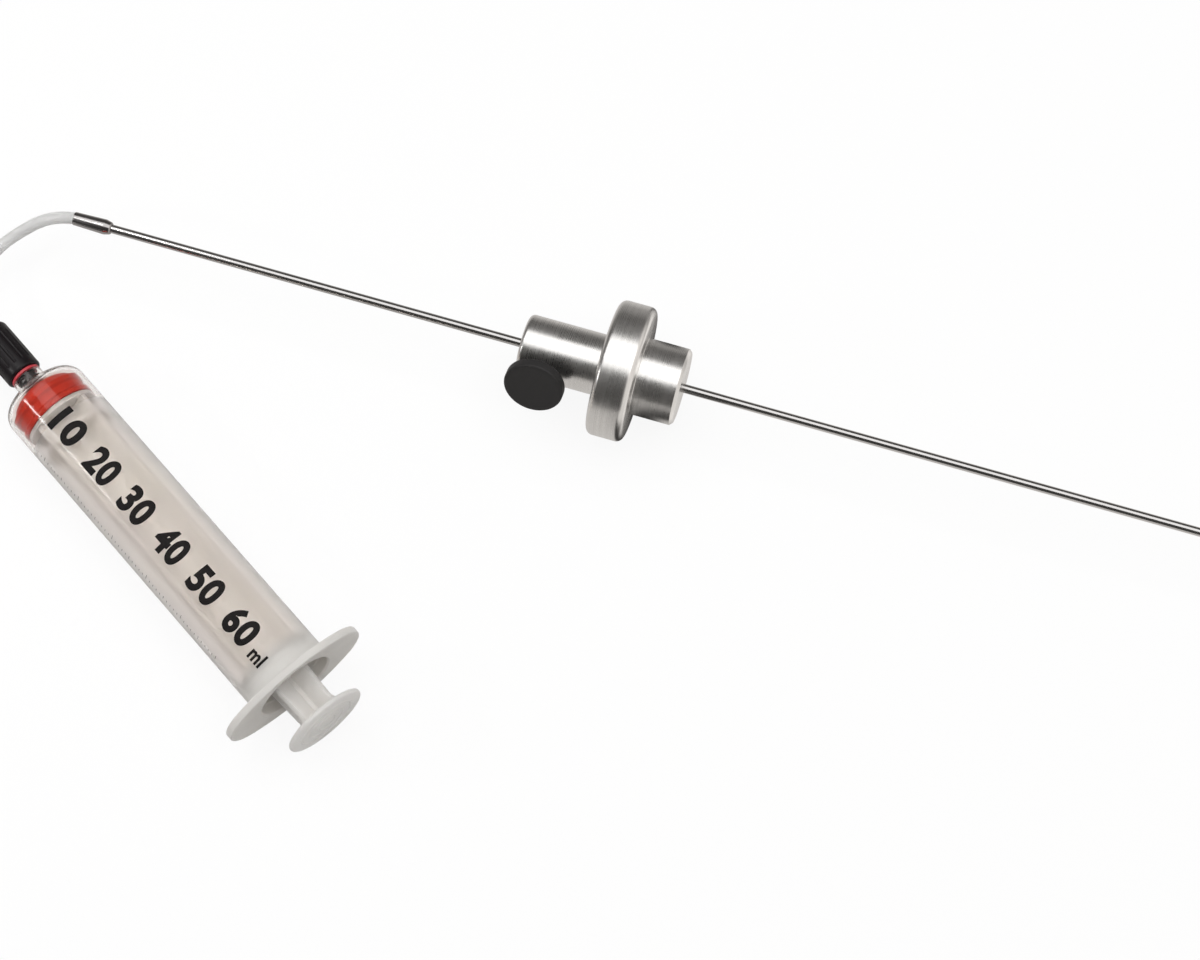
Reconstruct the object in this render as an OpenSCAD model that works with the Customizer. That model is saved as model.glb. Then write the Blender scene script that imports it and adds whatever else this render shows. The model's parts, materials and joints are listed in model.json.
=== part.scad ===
// Fork oil level tool: a hand syringe draws surplus oil out of a fork leg through a short
// hose and a long thin suction tube, and a clamped stop collar sets how deep the tube reaches.
// Millimetres. +X runs along the suction tube to its tip and +Z is up. The origin lies on the
// tube's axis, in the collar's stop face. The tool lies flat on a bench: the collar's flange
// and the syringe touch it, at bench_z.

/* [Suction tube] */
// Outside diameter of the tube
tube_d = 3; // [2.4:0.1:3.6]
// Bore of the tube
tube_bore = 2; // [1:0.1:2.2]
// Reach of the tip beyond the collar's stop face
tube_reach = 262; // [120:1:400]
// Length of the tube behind the stop face, up to its end inside the ferrule
tube_tail = 196.5; // [150:0.5:260]

/* [Crimp ferrule] */
// Length of the ferrule that is swaged over the hose and the tube
ferrule_l = 13.3; // [11.5:0.1:20]
// Wall of the ferrule at its hose end
ferrule_wall = 0.2; // [0.15:0.05:0.5]
// How much the ferrule's wall grows towards its round front end
ferrule_swell = 0.35; // [0:0.05:0.6]
// How far the ferrule reaches past the end of the tube
ferrule_lip = 2; // [1:0.5:4]
// Length of the swaged end that grips the bare tube
ferrule_swage = 2.2; // [1:0.1:3]

/* [Hose] */
// Outside diameter of the hose
hose_d = 4.1; // [3.8:0.1:4.4]

/* [Stop collar] */
// Diameter of the flange that rests on the fork leg
flange_d = 46; // [38:0.5:60]
// Thickness of the flange
flange_l = 12.5; // [6:0.5:20]
// Rounding of the flange's two rims
flange_round = 2.4; // [0.5:0.1:2.9]
// Diameter of the nose that drops into the fork leg
nose_d = 26; // [20:0.5:34]
// Length of the nose
nose_l = 14.6; // [8:0.2:25]
// Chamfer at the nose's end
nose_chamfer = 1; // [0.3:0.1:2]
// Diameter of the neck that carries the clamp screw
neck_d = 20.6; // [14:0.2:26]
// Length of the neck
neck_l = 27.7; // [20:0.1:40]
// Rounding of the neck's end
neck_round = 1.6; // [0.4:0.1:3]

/* [Clamp screw] */
// Thread diameter of the clamp screw
stud_d = 5; // [4:0.5:6]
// Distance of the screw from the neck's end
stud_inset = 8.6; // [7:0.1:12]
// Lean of the screw above the level, to the near side
stud_lean = 26; // [0:1:40]
// Diameter of the soft tip in the screw's end
tip_d = 3.8; // [2.4:0.1:4.2]
// Length of the soft tip ahead of the screw's end
tip_l = 1.6; // [0.8:0.1:3]
// Diameter of the knob
knob_d = 20; // [15:0.5:26]
// Height of the knob
knob_h = 3.7; // [3.2:0.1:9]
// Gap between the neck and the underside of the knob
knob_gap = 5.1; // [2.4:0.1:6]
// Rounding of the knob's rim
knob_round = 1.2; // [0.5:0.1:1.6]
// Diameter of the boss under the knob
boss_d = 9; // [7.5:0.5:12]

/* [Hose connector] */
// Diameter of the connector's grip
grip_d = 12.6; // [11.6:0.2:15]
// Length of the grip behind its mouth
grip_l = 20.5; // [18:0.5:26]
// Rounding of the grip's hose end
grip_round = 3.8; // [1:0.1:4]
// Depth of the socket that the hose is glued into
socket_depth = 8; // [5:0.5:10]
// Number of flutes round the grip
flute_count = 14; // [8:1:18]
// Thickness of the seal ring
seal_t = 1; // [0.6:0.1:1.5]

/* [Syringe barrel] */
// Bore of the barrel
barrel_bore = 26.7; // [22:0.1:30]
// Wall of the barrel
barrel_wall = 1.5; // [1:0.1:1.8]
// Length of the straight barrel between the shoulder and the finger flange
barrel_l = 127.6; // [110:0.2:150]
// Outer corner radius of the shoulder
shoulder_round = 5; // [3:0.1:6]
// Outside diameter of the lock ring round the nozzle
lock_d = 10.6; // [10:0.1:12]
// Inside diameter of the lock ring
lock_bore = 8.2; // [8:0.1:8.4]
// Depth of the lock ring
lock_depth = 4.6; // [4.2:0.1:5]
// Bore of the nozzle
nozzle_bore = 2.2; // [1.2:0.1:2.6]
// Length of the oval finger flange across the barrel
wing_span = 53; // [44:0.5:64]
// Height of the finger flange
wing_h = 32.4; // [31.5:0.1:38]
// Radius of the finger flange's two tips
wing_tip_r = 12; // [8:0.5:13]
// Thickness of the finger flange
wing_t = 2.6; // [1.8:0.1:4]

/* [Plunger] */
// Thickness of the plunger's ribs
rib_t = 1.8; // [1:0.1:3]
// Width across the ribs inside the barrel
rib_w = 24.8; // [20:0.1:25.4]
// Width across the ribs behind the last guide disc
rib_neck_w = 18; // [14:0.2:20]
// Width across the ribs where they are narrowest, before the thumb disc
waist_w = 15.6; // [12:0.2:19]
// Turn of the ribs about the plunger's axis
rib_turn = 42; // [0:1:90]
// Thickness of the plunger's guide discs
disc_t = 1.6; // [1:0.1:2.5]
// Diameter of the thumb disc
thumb_d = 28.7; // [24:0.1:31]
// Thickness of the thumb disc
thumb_t = 1.6; // [1.4:0.1:3]
// Clear space for the fingers between the finger flange and the thumb disc
finger_gap = 13.9; // [9:0.1:20]
// Length of the rubber piston, without its cone
piston_l = 9.2; // [8:0.1:12]
// Length of each sealing lip
lip_l = 1.5; // [1:0.1:2]

/* [Layout on the bench] */
// Angle from the suction tube round to the syringe, seen from above
syringe_turn = 32; // [20:1:60]
// Distance of the connector's mouth behind the stop face, along the tube
mouth_back = 197.5; // [180:0.5:230]
// Distance of the connector's mouth beside the tube
mouth_side = 55.2; // [50:0.1:80]

/* [Hidden] */

$fn = 64;
run_fit = 0.05;    // radial clearance of a part that slides or turns in another
loose_fit = 0.1;   // radial clearance of pushed-in and glued pieces
nib_fit = 0.02;    // radial clearance of the pressed tip in the screw
gap = 0.25;        // clearance between faces that come together in use

// Bench and stop collar
bench_z = -flange_d / 2;
collar_bore_r = tube_d / 2 + run_fit;
neck_x = -(flange_l + neck_l);

// Clamp screw, measured from the tube's axis along the screw
stud_x = neck_x + stud_inset;
tip_start = tube_d / 2 + gap;
stud_start = tip_start + tip_l;
knob_base = neck_d / 2 + knob_gap;
boss_h = knob_gap / 2;
knob_floor = 1.6;                  // material of the knob over the screw's end
stud_end = knob_base + knob_h - knob_floor;
nib_r = tip_d / 4;                 // radius of the tip's nib inside the screw
nib_l = 2;
spot_d = boss_d + 1;               // flat spot under the boss
spot_depth = 0.35;
knob_dish = 0.3;                   // depth of the dish in the knob's face
knob_rim = 1.4;                    // width of the face's rim outside the dish

// Syringe, measured along its own axis from the connector's mouth
barrel_r = barrel_bore / 2 + barrel_wall;
shoulder_lean = 15;                // slope of the shoulder's cone from square
lock_x = seal_t;
cavity_x = lock_x + lock_depth;
neck_fillet = 1.2;
cone_gap = 4.6;                    // radial height of the shoulder's cone
cone_r = lock_d / 2 + neck_fillet * (1 - sin(shoulder_lean));
web = 1.1;                         // material between the lock ring's cavity and the barrel
corner_r = barrel_r - shoulder_round;
inner_round = shoulder_round - barrel_wall;
nozzle_cone_x = cavity_x + web;    // where the barrel's end cone reaches the nozzle's wall
inner_cone_r = corner_r + inner_round * sin(shoulder_lean);
corner_x = nozzle_cone_x + (inner_cone_r - lock_bore / 4) * tan(shoulder_lean)
    + inner_round * cos(shoulder_lean);
wing_x = corner_x + barrel_l;
collar_cone_l = 3.4;               // cone that stiffens the barrel in front of the flange
bead_r = barrel_bore / 2 - 0.35;   // bead that keeps the plunger in
bead_x = wing_x - 2.2;
bead_l = 0.9;
rear_chamfer = 0.6;

// Nozzle with the usual six per cent taper, and the socket that it fits
nozzle_l = 7.5;
nozzle_taper = 0.03;
nozzle_root_r = 2.15;
function nozzle_r(x) = nozzle_root_r - (cavity_x - x) * nozzle_taper;
nozzle_x = cavity_x - nozzle_l;
nozzle_end_gap = 0.6;
hub_r = lock_bore / 2 - 0.55;
hub_l = cavity_x - gap;
crest_r = lock_bore / 2 - loose_fit;
crest_l = 0.8;
crest_pitch = 2.2;
channel_r = 1.1;
socket_r = hose_d / 2 + loose_fit;
mouth_round = 0.8;
flute_r = 0.8;
flute_depth = 0.3;
flute_inset = 3;                   // grip left plain at its mouth
flute_lead = 0.6;                  // and at its rounded end

// Piston and plunger, at rest with the plunger pushed right in
piston_x = corner_x + 0.6;         // front edge of the first lip
piston_end = piston_x + piston_l - 2;
lip_r = barrel_bore / 2 - run_fit;
piston_waist_r = lip_r - 0.8;
head_r = barrel_bore / 4 - 0.7;
head_l = 5.2;
stem_r = head_r - 1.2;
stem_l = 2;
disc_r = barrel_bore / 2 - 0.45;
first_disc_x = piston_end + loose_fit;
second_disc_x = first_disc_x + 8.5;
guide_disc_x = wing_x - 8.6;
core_r = 2.2;
rib_neck_round = (rib_w - rib_neck_w) / 2;
flare_r = (rib_w - waist_w) / 2;
thumb_x = wing_x + wing_t + finger_gap;
thumb_round = 0.7;
grip_ring_h = 0.3;
grip_ring_w = 0.9;
grip_ring_pitch = 3.2;
grip_ring_count = 3;

// The syringe lies on its finger flange and on the front end of its barrel
rest_tilt = atan((wing_h / 2 - barrel_r) / (wing_x - corner_x));
mouth_z = bench_z + barrel_r * cos(rest_tilt) - corner_x * sin(rest_tilt);

// The hose's centre line, from inside the ferrule to inside the connector
hose_route = [
    [-187.5, 0, 0], [-193, 0, 0], [-198.5, 0, 0],
    [-206.5, -1.5, -2], [-211.5, -3.5, -4.5], [-214, -5, -6], [-218.5, -8.5, -8.5],
    [-222, -12.5, -10], [-225, -18.5, -11], [-226, -23, -11], [-226, -28.5, -10.5],
    [-225, -32.5, -10], [-223, -36.5, -9.5], [-220, -40, -9],
    [-214.9, -44.3, -8.5], [-211.5, -46.5, -8.5], [-208.2, -48.5, -8.4],
];
hose_sides = 12;

// Points of an arc in the (along, radius) plane
function arc(x, r, radius, from, to, steps = 8) =
    [for (i = [0 : steps])
        let (a = from + (to - from) * i / steps) [x + radius * cos(a), r + radius * sin(a)]];

// Solid turned about the X axis from an outline in (along, radius)
module turned(outline) {
    rotate([0, 90, 0])
        mirror([1, 0, 0])
            rotate_extrude()
                polygon([for (p = outline) [p.y, p.x]]);
}

// Cylinder along X between two places
module bar(from, to, r) {
    translate([from, 0, 0]) rotate([0, 90, 0]) cylinder(h = to - from, r = r);
}

// Places a piece drawn along +X on the syringe's axis
module on_syringe() {
    translate([-mouth_back, -mouth_side, mouth_z])
        rotate([0, -rest_tilt, -syringe_turn])
            children();
}

// Places a piece drawn along +Z on the clamp screw's axis
module on_screw() {
    translate([stud_x, 0, 0]) rotate([90 - stud_lean, 0, 0]) children();
}

module suction_tube() {
    color("lightsteelblue")
        turned([
            [-tube_tail, tube_bore / 2], [-tube_tail, tube_d / 2],
            [tube_reach - 0.2, tube_d / 2], [tube_reach, tube_d / 2 - 0.2],
            [tube_reach, tube_bore / 2],
        ]);
}

module crimp_ferrule() {
    rear = -(tube_tail + ferrule_lip);
    front = rear + ferrule_l;
    hose_bore_r = hose_d / 2 + nib_fit;
    outer_r = hose_bore_r + ferrule_wall;
    front_r = outer_r + ferrule_swell;
    nose_r = front_r - tube_d / 2 - run_fit;
    color("silver")
        turned(concat(
            [[rear, hose_bore_r], [rear, outer_r]],
            arc(front - nose_r, front_r - nose_r, nose_r, 90, 0),
            [[front - ferrule_swage, tube_d / 2 + run_fit], [front - ferrule_swage, hose_bore_r]]
        ));
}

// Plain tube swept along the hose's centre line
module hose() {
    last = len(hose_route) - 1;
    function ahead(i) = hose_route[min(i + 1, last)] - hose_route[max(i - 1, 0)];
    function ring(i) =
        let (t = ahead(i) / norm(ahead(i)),
             side = cross(t, [0, 0, 1]) / norm(cross(t, [0, 0, 1])),
             top = cross(side, t))
        [for (k = [0 : hose_sides - 1])
            let (a = 360 * k / hose_sides)
            hose_route[i] + hose_d / 2 * (cos(a) * side + sin(a) * top)];
    points = [for (i = [0 : last]) each ring(i)];
    walls = [for (i = [0 : last - 1], k = [0 : hose_sides - 1])
        let (a = i * hose_sides + k, b = i * hose_sides + (k + 1) % hose_sides)
        [a, a + hose_sides, b + hose_sides, b]];
    start_cap = [for (k = [0 : hose_sides - 1]) k];
    end_cap = [for (k = [hose_sides - 1 : -1 : 0]) last * hose_sides + k];
    color("gainsboro")
        polyhedron(points, concat(walls, [start_cap, end_cap]), convexity = 4);
}

module hose_connector() {
    crest_1 = seal_t + 0.5;
    crest_2 = crest_1 + crest_pitch;
    color([0.07, 0.07, 0.08])
        on_syringe()
            difference() {
                turned(concat(
                    [[-grip_l, socket_r]],
                    arc(-grip_l + grip_round, grip_d / 2 - grip_round, grip_round, 180, 90),
                    arc(-mouth_round, grip_d / 2 - mouth_round, mouth_round, 90, 0, 4),
                    [[0, hub_r],
                     [crest_1, hub_r], [crest_1, crest_r],
                     [crest_1 + crest_l, crest_r], [crest_1 + crest_l, hub_r],
                     [crest_2, hub_r], [crest_2, crest_r],
                     [crest_2 + crest_l, crest_r], [crest_2 + crest_l, hub_r],
                     [hub_l, hub_r], [hub_l, nozzle_r(hub_l) + run_fit],
                     [nozzle_x - nozzle_end_gap, nozzle_r(nozzle_x) + run_fit],
                     [nozzle_x - nozzle_end_gap, channel_r],
                     [-grip_l + socket_depth, channel_r], [-grip_l + socket_depth, socket_r]]
                ));
                for (k = [0 : flute_count - 1])
                    rotate([360 * k / flute_count, 0, 0])
                        translate([0, 0, grip_d / 2 + flute_r - flute_depth])
                            bar(-grip_l + grip_round + flute_lead, -flute_inset, flute_r);
            }
}

module connector_seal() {
    color("firebrick")
        on_syringe()
            turned([[0, hub_r + loose_fit], [0, lock_d / 2], [seal_t, lock_d / 2],
                    [seal_t, hub_r + loose_fit]]);
}

// Barrel, shoulder, lock ring and nozzle as one turned outline
module barrel_body() {
    cone_x = corner_x - shoulder_round * cos(shoulder_lean)
        - (corner_r + shoulder_round * sin(shoulder_lean) - cone_r) * tan(shoulder_lean);
    inner_x = corner_x - inner_round * cos(shoulder_lean);
    rear = wing_x + wing_t;
    turned(concat(
        [[nozzle_x, nozzle_bore / 2], [nozzle_x, nozzle_r(nozzle_x)],
         [cavity_x, nozzle_root_r], [cavity_x, lock_bore / 2], [lock_x, lock_bore / 2],
         [lock_x, lock_d / 2]],
        arc(cone_x - neck_fillet * cos(shoulder_lean), lock_d / 2 + neck_fillet, neck_fillet,
            270, 360 - shoulder_lean, 5),
        arc(corner_x, corner_r, shoulder_round, 180 - shoulder_lean, 90),
        [[wing_x - collar_cone_l, barrel_r], [wing_x, wing_h / 2 - 0.3],
         [rear, wing_h / 2 - 0.3],
         [rear, barrel_bore / 2 + rear_chamfer], [rear - rear_chamfer, barrel_bore / 2],
         [bead_x + bead_l, barrel_bore / 2], [bead_x + bead_l / 2, bead_r],
         [bead_x, barrel_bore / 2]],
        arc(corner_x, corner_r, inner_round, 90, 180 - shoulder_lean),
        [[inner_x - (inner_cone_r - nozzle_bore / 2) * tan(shoulder_lean), nozzle_bore / 2]]
    ));
}

// Oval finger flange: two wide arcs run smoothly into the arcs of its two tips
module finger_flange() {
    half_h = wing_h / 2;
    tip_y = wing_span / 2 - wing_tip_r;
    side_r = (tip_y * tip_y + half_h * half_h - wing_tip_r * wing_tip_r) / (2 * (half_h - wing_tip_r));
    meet = atan2(tip_y, side_r - half_h);   // angle at which the arcs meet
    translate([wing_x, 0, 0])
        rotate([0, 90, 0])
            linear_extrude(height = wing_t)
                difference() {
                    polygon(concat(
                        arc(0, tip_y, wing_tip_r, meet, 180 - meet, 16),
                        arc(side_r - half_h, 0, side_r, 180 - meet, 180 + meet, 12),
                        arc(0, -tip_y, wing_tip_r, 180 + meet, 360 - meet, 16),
                        arc(half_h - side_r, 0, side_r, 360 - meet, 360 + meet, 12)
                    ));
                    circle(r = barrel_r - barrel_wall / 2);
                }
}

module syringe_barrel() {
    color([0.85, 0.85, 0.83, 0.55])
        on_syringe() {
            barrel_body();
            finger_flange();
        }
}

// One pair of opposite ribs, cut to the plunger's side outline
module rib_pair() {
    half = rib_w / 2;
    start = first_disc_x + disc_t / 2;
    rib_neck_x = guide_disc_x + disc_t;
    edge = concat(
        [[start, half]],
        arc(rib_neck_x + rib_neck_round, half, rib_neck_round, 180, 270),
        arc(thumb_x - flare_r, half, flare_r, 270, 360),
        [[thumb_x + thumb_t / 2, half]]
    );
    mirrored = [for (i = [len(edge) - 1 : -1 : 0]) [edge[i].x, -edge[i].y]];
    linear_extrude(height = rib_t, center = true) polygon(concat(edge, mirrored));
}

module thumb_disc() {
    back = thumb_x + thumb_t;
    function ridge(r) = [[back, r + grip_ring_w], [back + grip_ring_h, r + grip_ring_w * 0.75],
                         [back + grip_ring_h, r + grip_ring_w * 0.25], [back, r]];
    turned(concat(
        [[thumb_x, 0]],
        arc(thumb_x + thumb_round, thumb_d / 2 - thumb_round, thumb_round, 180, 90, 5),
        arc(back - thumb_round, thumb_d / 2 - thumb_round, thumb_round, 90, 0, 5),
        [for (k = [grip_ring_count : -1 : 1]) each ridge(k * grip_ring_pitch)],
        [[back, 0]]
    ));
}

module plunger_rod() {
    head_x = piston_end - stem_l - head_l;
    color([0.9, 0.9, 0.88, 0.8])
        on_syringe()
            rotate([rib_turn, 0, 0]) {
                turned([
                    [head_x, 0], [head_x, head_r - 0.8], [head_x + 1.2, head_r],
                    [piston_end - stem_l, head_r], [piston_end - stem_l, stem_r],
                    [first_disc_x, stem_r], [first_disc_x, disc_r],
                    [first_disc_x + disc_t, disc_r], [first_disc_x + disc_t, core_r],
                    [second_disc_x, core_r], [second_disc_x, disc_r],
                    [second_disc_x + disc_t, disc_r], [second_disc_x + disc_t, core_r],
                    [guide_disc_x, core_r], [guide_disc_x, disc_r],
                    [guide_disc_x + disc_t, disc_r], [guide_disc_x + disc_t, core_r],
                    [thumb_x + thumb_t / 2, core_r], [thumb_x + thumb_t / 2, 0],
                ]);
                rib_pair();
                rotate([90, 0, 0]) rib_pair();
                thumb_disc();
            }
}

// Rubber piston with a cone that meets the barrel's end, two lips and a waist
module piston_seal() {
    face_gap = 0.4;
    nose_lift = face_gap / cos(shoulder_lean);
    inner_x = corner_x - inner_round * cos(shoulder_lean) + nose_lift;
    front_r = inner_cone_r - 0.6;
    nose_r = 1.5;
    front_x = inner_x - (inner_cone_r - front_r) * tan(shoulder_lean);
    nose_x = inner_x - (inner_cone_r - nose_r) * tan(shoulder_lean);
    slope = 0.9;
    pocket_r = head_r + loose_fit;
    color("orangered")
        on_syringe()
            turned([
                [nose_x, 0], [nose_x, nose_r], [front_x, front_r],
                [piston_x - 0.3, lip_r - 0.5], [piston_x, lip_r], [piston_x + lip_l, lip_r],
                [piston_x + lip_l + slope, piston_waist_r],
                [piston_end - lip_l - slope, piston_waist_r],
                [piston_end - lip_l, lip_r], [piston_end - 0.3, lip_r], [piston_end, lip_r - 0.3],
                [piston_end, stem_r + loose_fit],
                [piston_end - stem_l + loose_fit, stem_r + loose_fit],
                [piston_end - stem_l + loose_fit, pocket_r],
                [piston_end - stem_l - head_l + 1.2 - loose_fit, pocket_r],
                [piston_end - stem_l - head_l - loose_fit, pocket_r - 0.8],
                [piston_end - stem_l - head_l - loose_fit, 0],
            ]);
}

module stop_collar() {
    color("silver")
        difference() {
            turned(concat(
                [[neck_x, collar_bore_r]],
                arc(neck_x + neck_round, neck_d / 2 - neck_round, neck_round, 180, 90, 6),
                [[-flange_l, neck_d / 2]],
                arc(-flange_l + flange_round, flange_d / 2 - flange_round, flange_round, 180, 90),
                arc(-flange_round, flange_d / 2 - flange_round, flange_round, 90, 0),
                [[0, nose_d / 2], [nose_l - nose_chamfer, nose_d / 2],
                 [nose_l, nose_d / 2 - nose_chamfer], [nose_l, collar_bore_r]]
            ));
            on_screw() {
                cylinder(h = neck_d, r = stud_d / 2 + run_fit);
                translate([0, 0, neck_d / 2 - spot_depth]) cylinder(h = neck_d, d = spot_d);
            }
        }
}

module clamp_stud() {
    chamfer = 0.4;
    color("dimgray")
        on_screw()
            rotate_extrude()
                polygon([
                    [nib_r + nib_fit, stud_start], [stud_d / 2 - chamfer, stud_start],
                    [stud_d / 2, stud_start + chamfer], [stud_d / 2, stud_end],
                    [0, stud_end], [0, stud_start + nib_l + nib_fit],
                    [nib_r + nib_fit, stud_start + nib_l + nib_fit],
                ]);
}

module clamp_tip() {
    color("ivory")
        on_screw()
            rotate_extrude()
                polygon([
                    [0, tip_start], [tip_d / 2 - 0.3, tip_start], [tip_d / 2, tip_start + 0.3],
                    [tip_d / 2, stud_start], [nib_r, stud_start], [nib_r, stud_start + nib_l],
                    [0, stud_start + nib_l],
                ]);
}

module clamp_knob() {
    top = knob_base + knob_h;
    bore_r = stud_d / 2 + run_fit;
    lower_round = knob_round / 2;
    // In this outline the first number is the radius, because the knob is drawn along +Z
    color([0.08, 0.08, 0.08])
        on_screw()
            rotate_extrude()
                polygon(concat(
                    [[bore_r, knob_base - boss_h], [boss_d / 2, knob_base - boss_h],
                     [boss_d / 2, knob_base]],
                    arc(knob_d / 2 - lower_round, knob_base + lower_round, lower_round, 270, 360, 5),
                    arc(knob_d / 2 - knob_round, top - knob_round, knob_round, 0, 90),
                    [[knob_d / 2 - knob_round - knob_rim, top],
                     [knob_d / 2 - knob_round - knob_rim - knob_dish, top - knob_dish],
                     [0, top - knob_dish], [0, stud_end + run_fit], [bore_r, stud_end + run_fit]]
                ));
}

suction_tube();
crimp_ferrule();
hose();
hose_connector();
connector_seal();
syringe_barrel();
plunger_rod();
piston_seal();
stop_collar();
clamp_stud();
clamp_tip();
clamp_knob();
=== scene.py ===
"""Looks of a fork oil level tool: hand syringe, short hose and suction tube with a stop collar.

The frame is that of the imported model, in metres: +X runs along the suction tube to its tip, +Z is
up, and the origin lies on the tube's axis in the collar's stop face. Round pieces are drawn as on a
lathe, along +X and in millimetres, and are then placed on their own axis in the frame.
"""

import json
import logging
import math
from dataclasses import dataclass
from enum import Enum
from typing import Iterable, Optional, Sequence, Union

import bmesh
import bpy
from mathutils import Matrix, Vector

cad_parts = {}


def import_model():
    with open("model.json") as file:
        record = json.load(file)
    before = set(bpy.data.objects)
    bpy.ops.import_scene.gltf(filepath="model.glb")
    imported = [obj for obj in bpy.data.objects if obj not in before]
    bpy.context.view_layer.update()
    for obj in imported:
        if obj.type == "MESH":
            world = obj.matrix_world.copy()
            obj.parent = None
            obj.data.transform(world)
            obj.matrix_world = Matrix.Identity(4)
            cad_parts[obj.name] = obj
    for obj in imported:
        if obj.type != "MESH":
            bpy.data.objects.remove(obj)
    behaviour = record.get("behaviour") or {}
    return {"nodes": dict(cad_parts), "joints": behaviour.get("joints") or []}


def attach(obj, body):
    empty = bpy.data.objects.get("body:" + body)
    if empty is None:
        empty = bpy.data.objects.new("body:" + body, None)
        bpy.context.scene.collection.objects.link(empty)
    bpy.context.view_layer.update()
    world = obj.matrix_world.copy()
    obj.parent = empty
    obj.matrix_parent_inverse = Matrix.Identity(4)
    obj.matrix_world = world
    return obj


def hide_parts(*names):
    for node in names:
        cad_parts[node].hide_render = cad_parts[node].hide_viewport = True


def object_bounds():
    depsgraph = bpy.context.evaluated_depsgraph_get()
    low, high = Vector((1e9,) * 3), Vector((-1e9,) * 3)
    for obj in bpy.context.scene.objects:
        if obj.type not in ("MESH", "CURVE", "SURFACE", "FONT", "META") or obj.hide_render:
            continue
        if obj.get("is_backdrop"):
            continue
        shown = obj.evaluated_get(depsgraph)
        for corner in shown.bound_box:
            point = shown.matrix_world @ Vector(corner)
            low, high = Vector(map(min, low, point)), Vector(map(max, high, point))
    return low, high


MM = 0.001
SEGMENTS = 128
SHARP_ANGLE = math.radians(30)
MOUTH = (-0.1975, -0.0552, -0.008282)  # the connector's mouth, where the syringe's axis starts
BARREL = (0.848, -0.53, 0.01)  # roughly along the syringe, which two lamps follow
LOG = logging.getLogger("oil_level_tool")

Number = Union[float, "Signal"]
Corner = tuple[float, float, float]
Colour = tuple[float, float, float]
Triple = tuple[float, float, float]


# ------------------------------------------------------------------------ shader expressions


class Signal:
    """A shader socket that takes part in Python arithmetic by adding Math nodes."""

    def __init__(self, graph: "Graph", socket: bpy.types.NodeSocket) -> None:
        """Wraps one output socket of the graph."""
        self.graph = graph
        self.socket = socket

    def math(self, operation: str, *values: Number) -> "Signal":
        """Adds one Math node on the given values and returns its result."""
        inputs = dict(enumerate(values))
        return self.graph.node("ShaderNodeMath", {"operation": operation}, inputs)

    def __add__(self, other: Number) -> "Signal":
        """Sum."""
        return self.math("ADD", self, other)

    def __sub__(self, other: Number) -> "Signal":
        """Difference."""
        return self.math("SUBTRACT", self, other)

    def __rsub__(self, other: Number) -> "Signal":
        """Difference from a number on the left."""
        return self.math("SUBTRACT", other, self)

    def __mul__(self, other: Number) -> "Signal":
        """Product."""
        return self.math("MULTIPLY", self, other)

    def __pow__(self, other: Number) -> "Signal":
        """Power."""
        return self.math("POWER", self, other)

    __radd__ = __add__
    __rmul__ = __mul__


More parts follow.
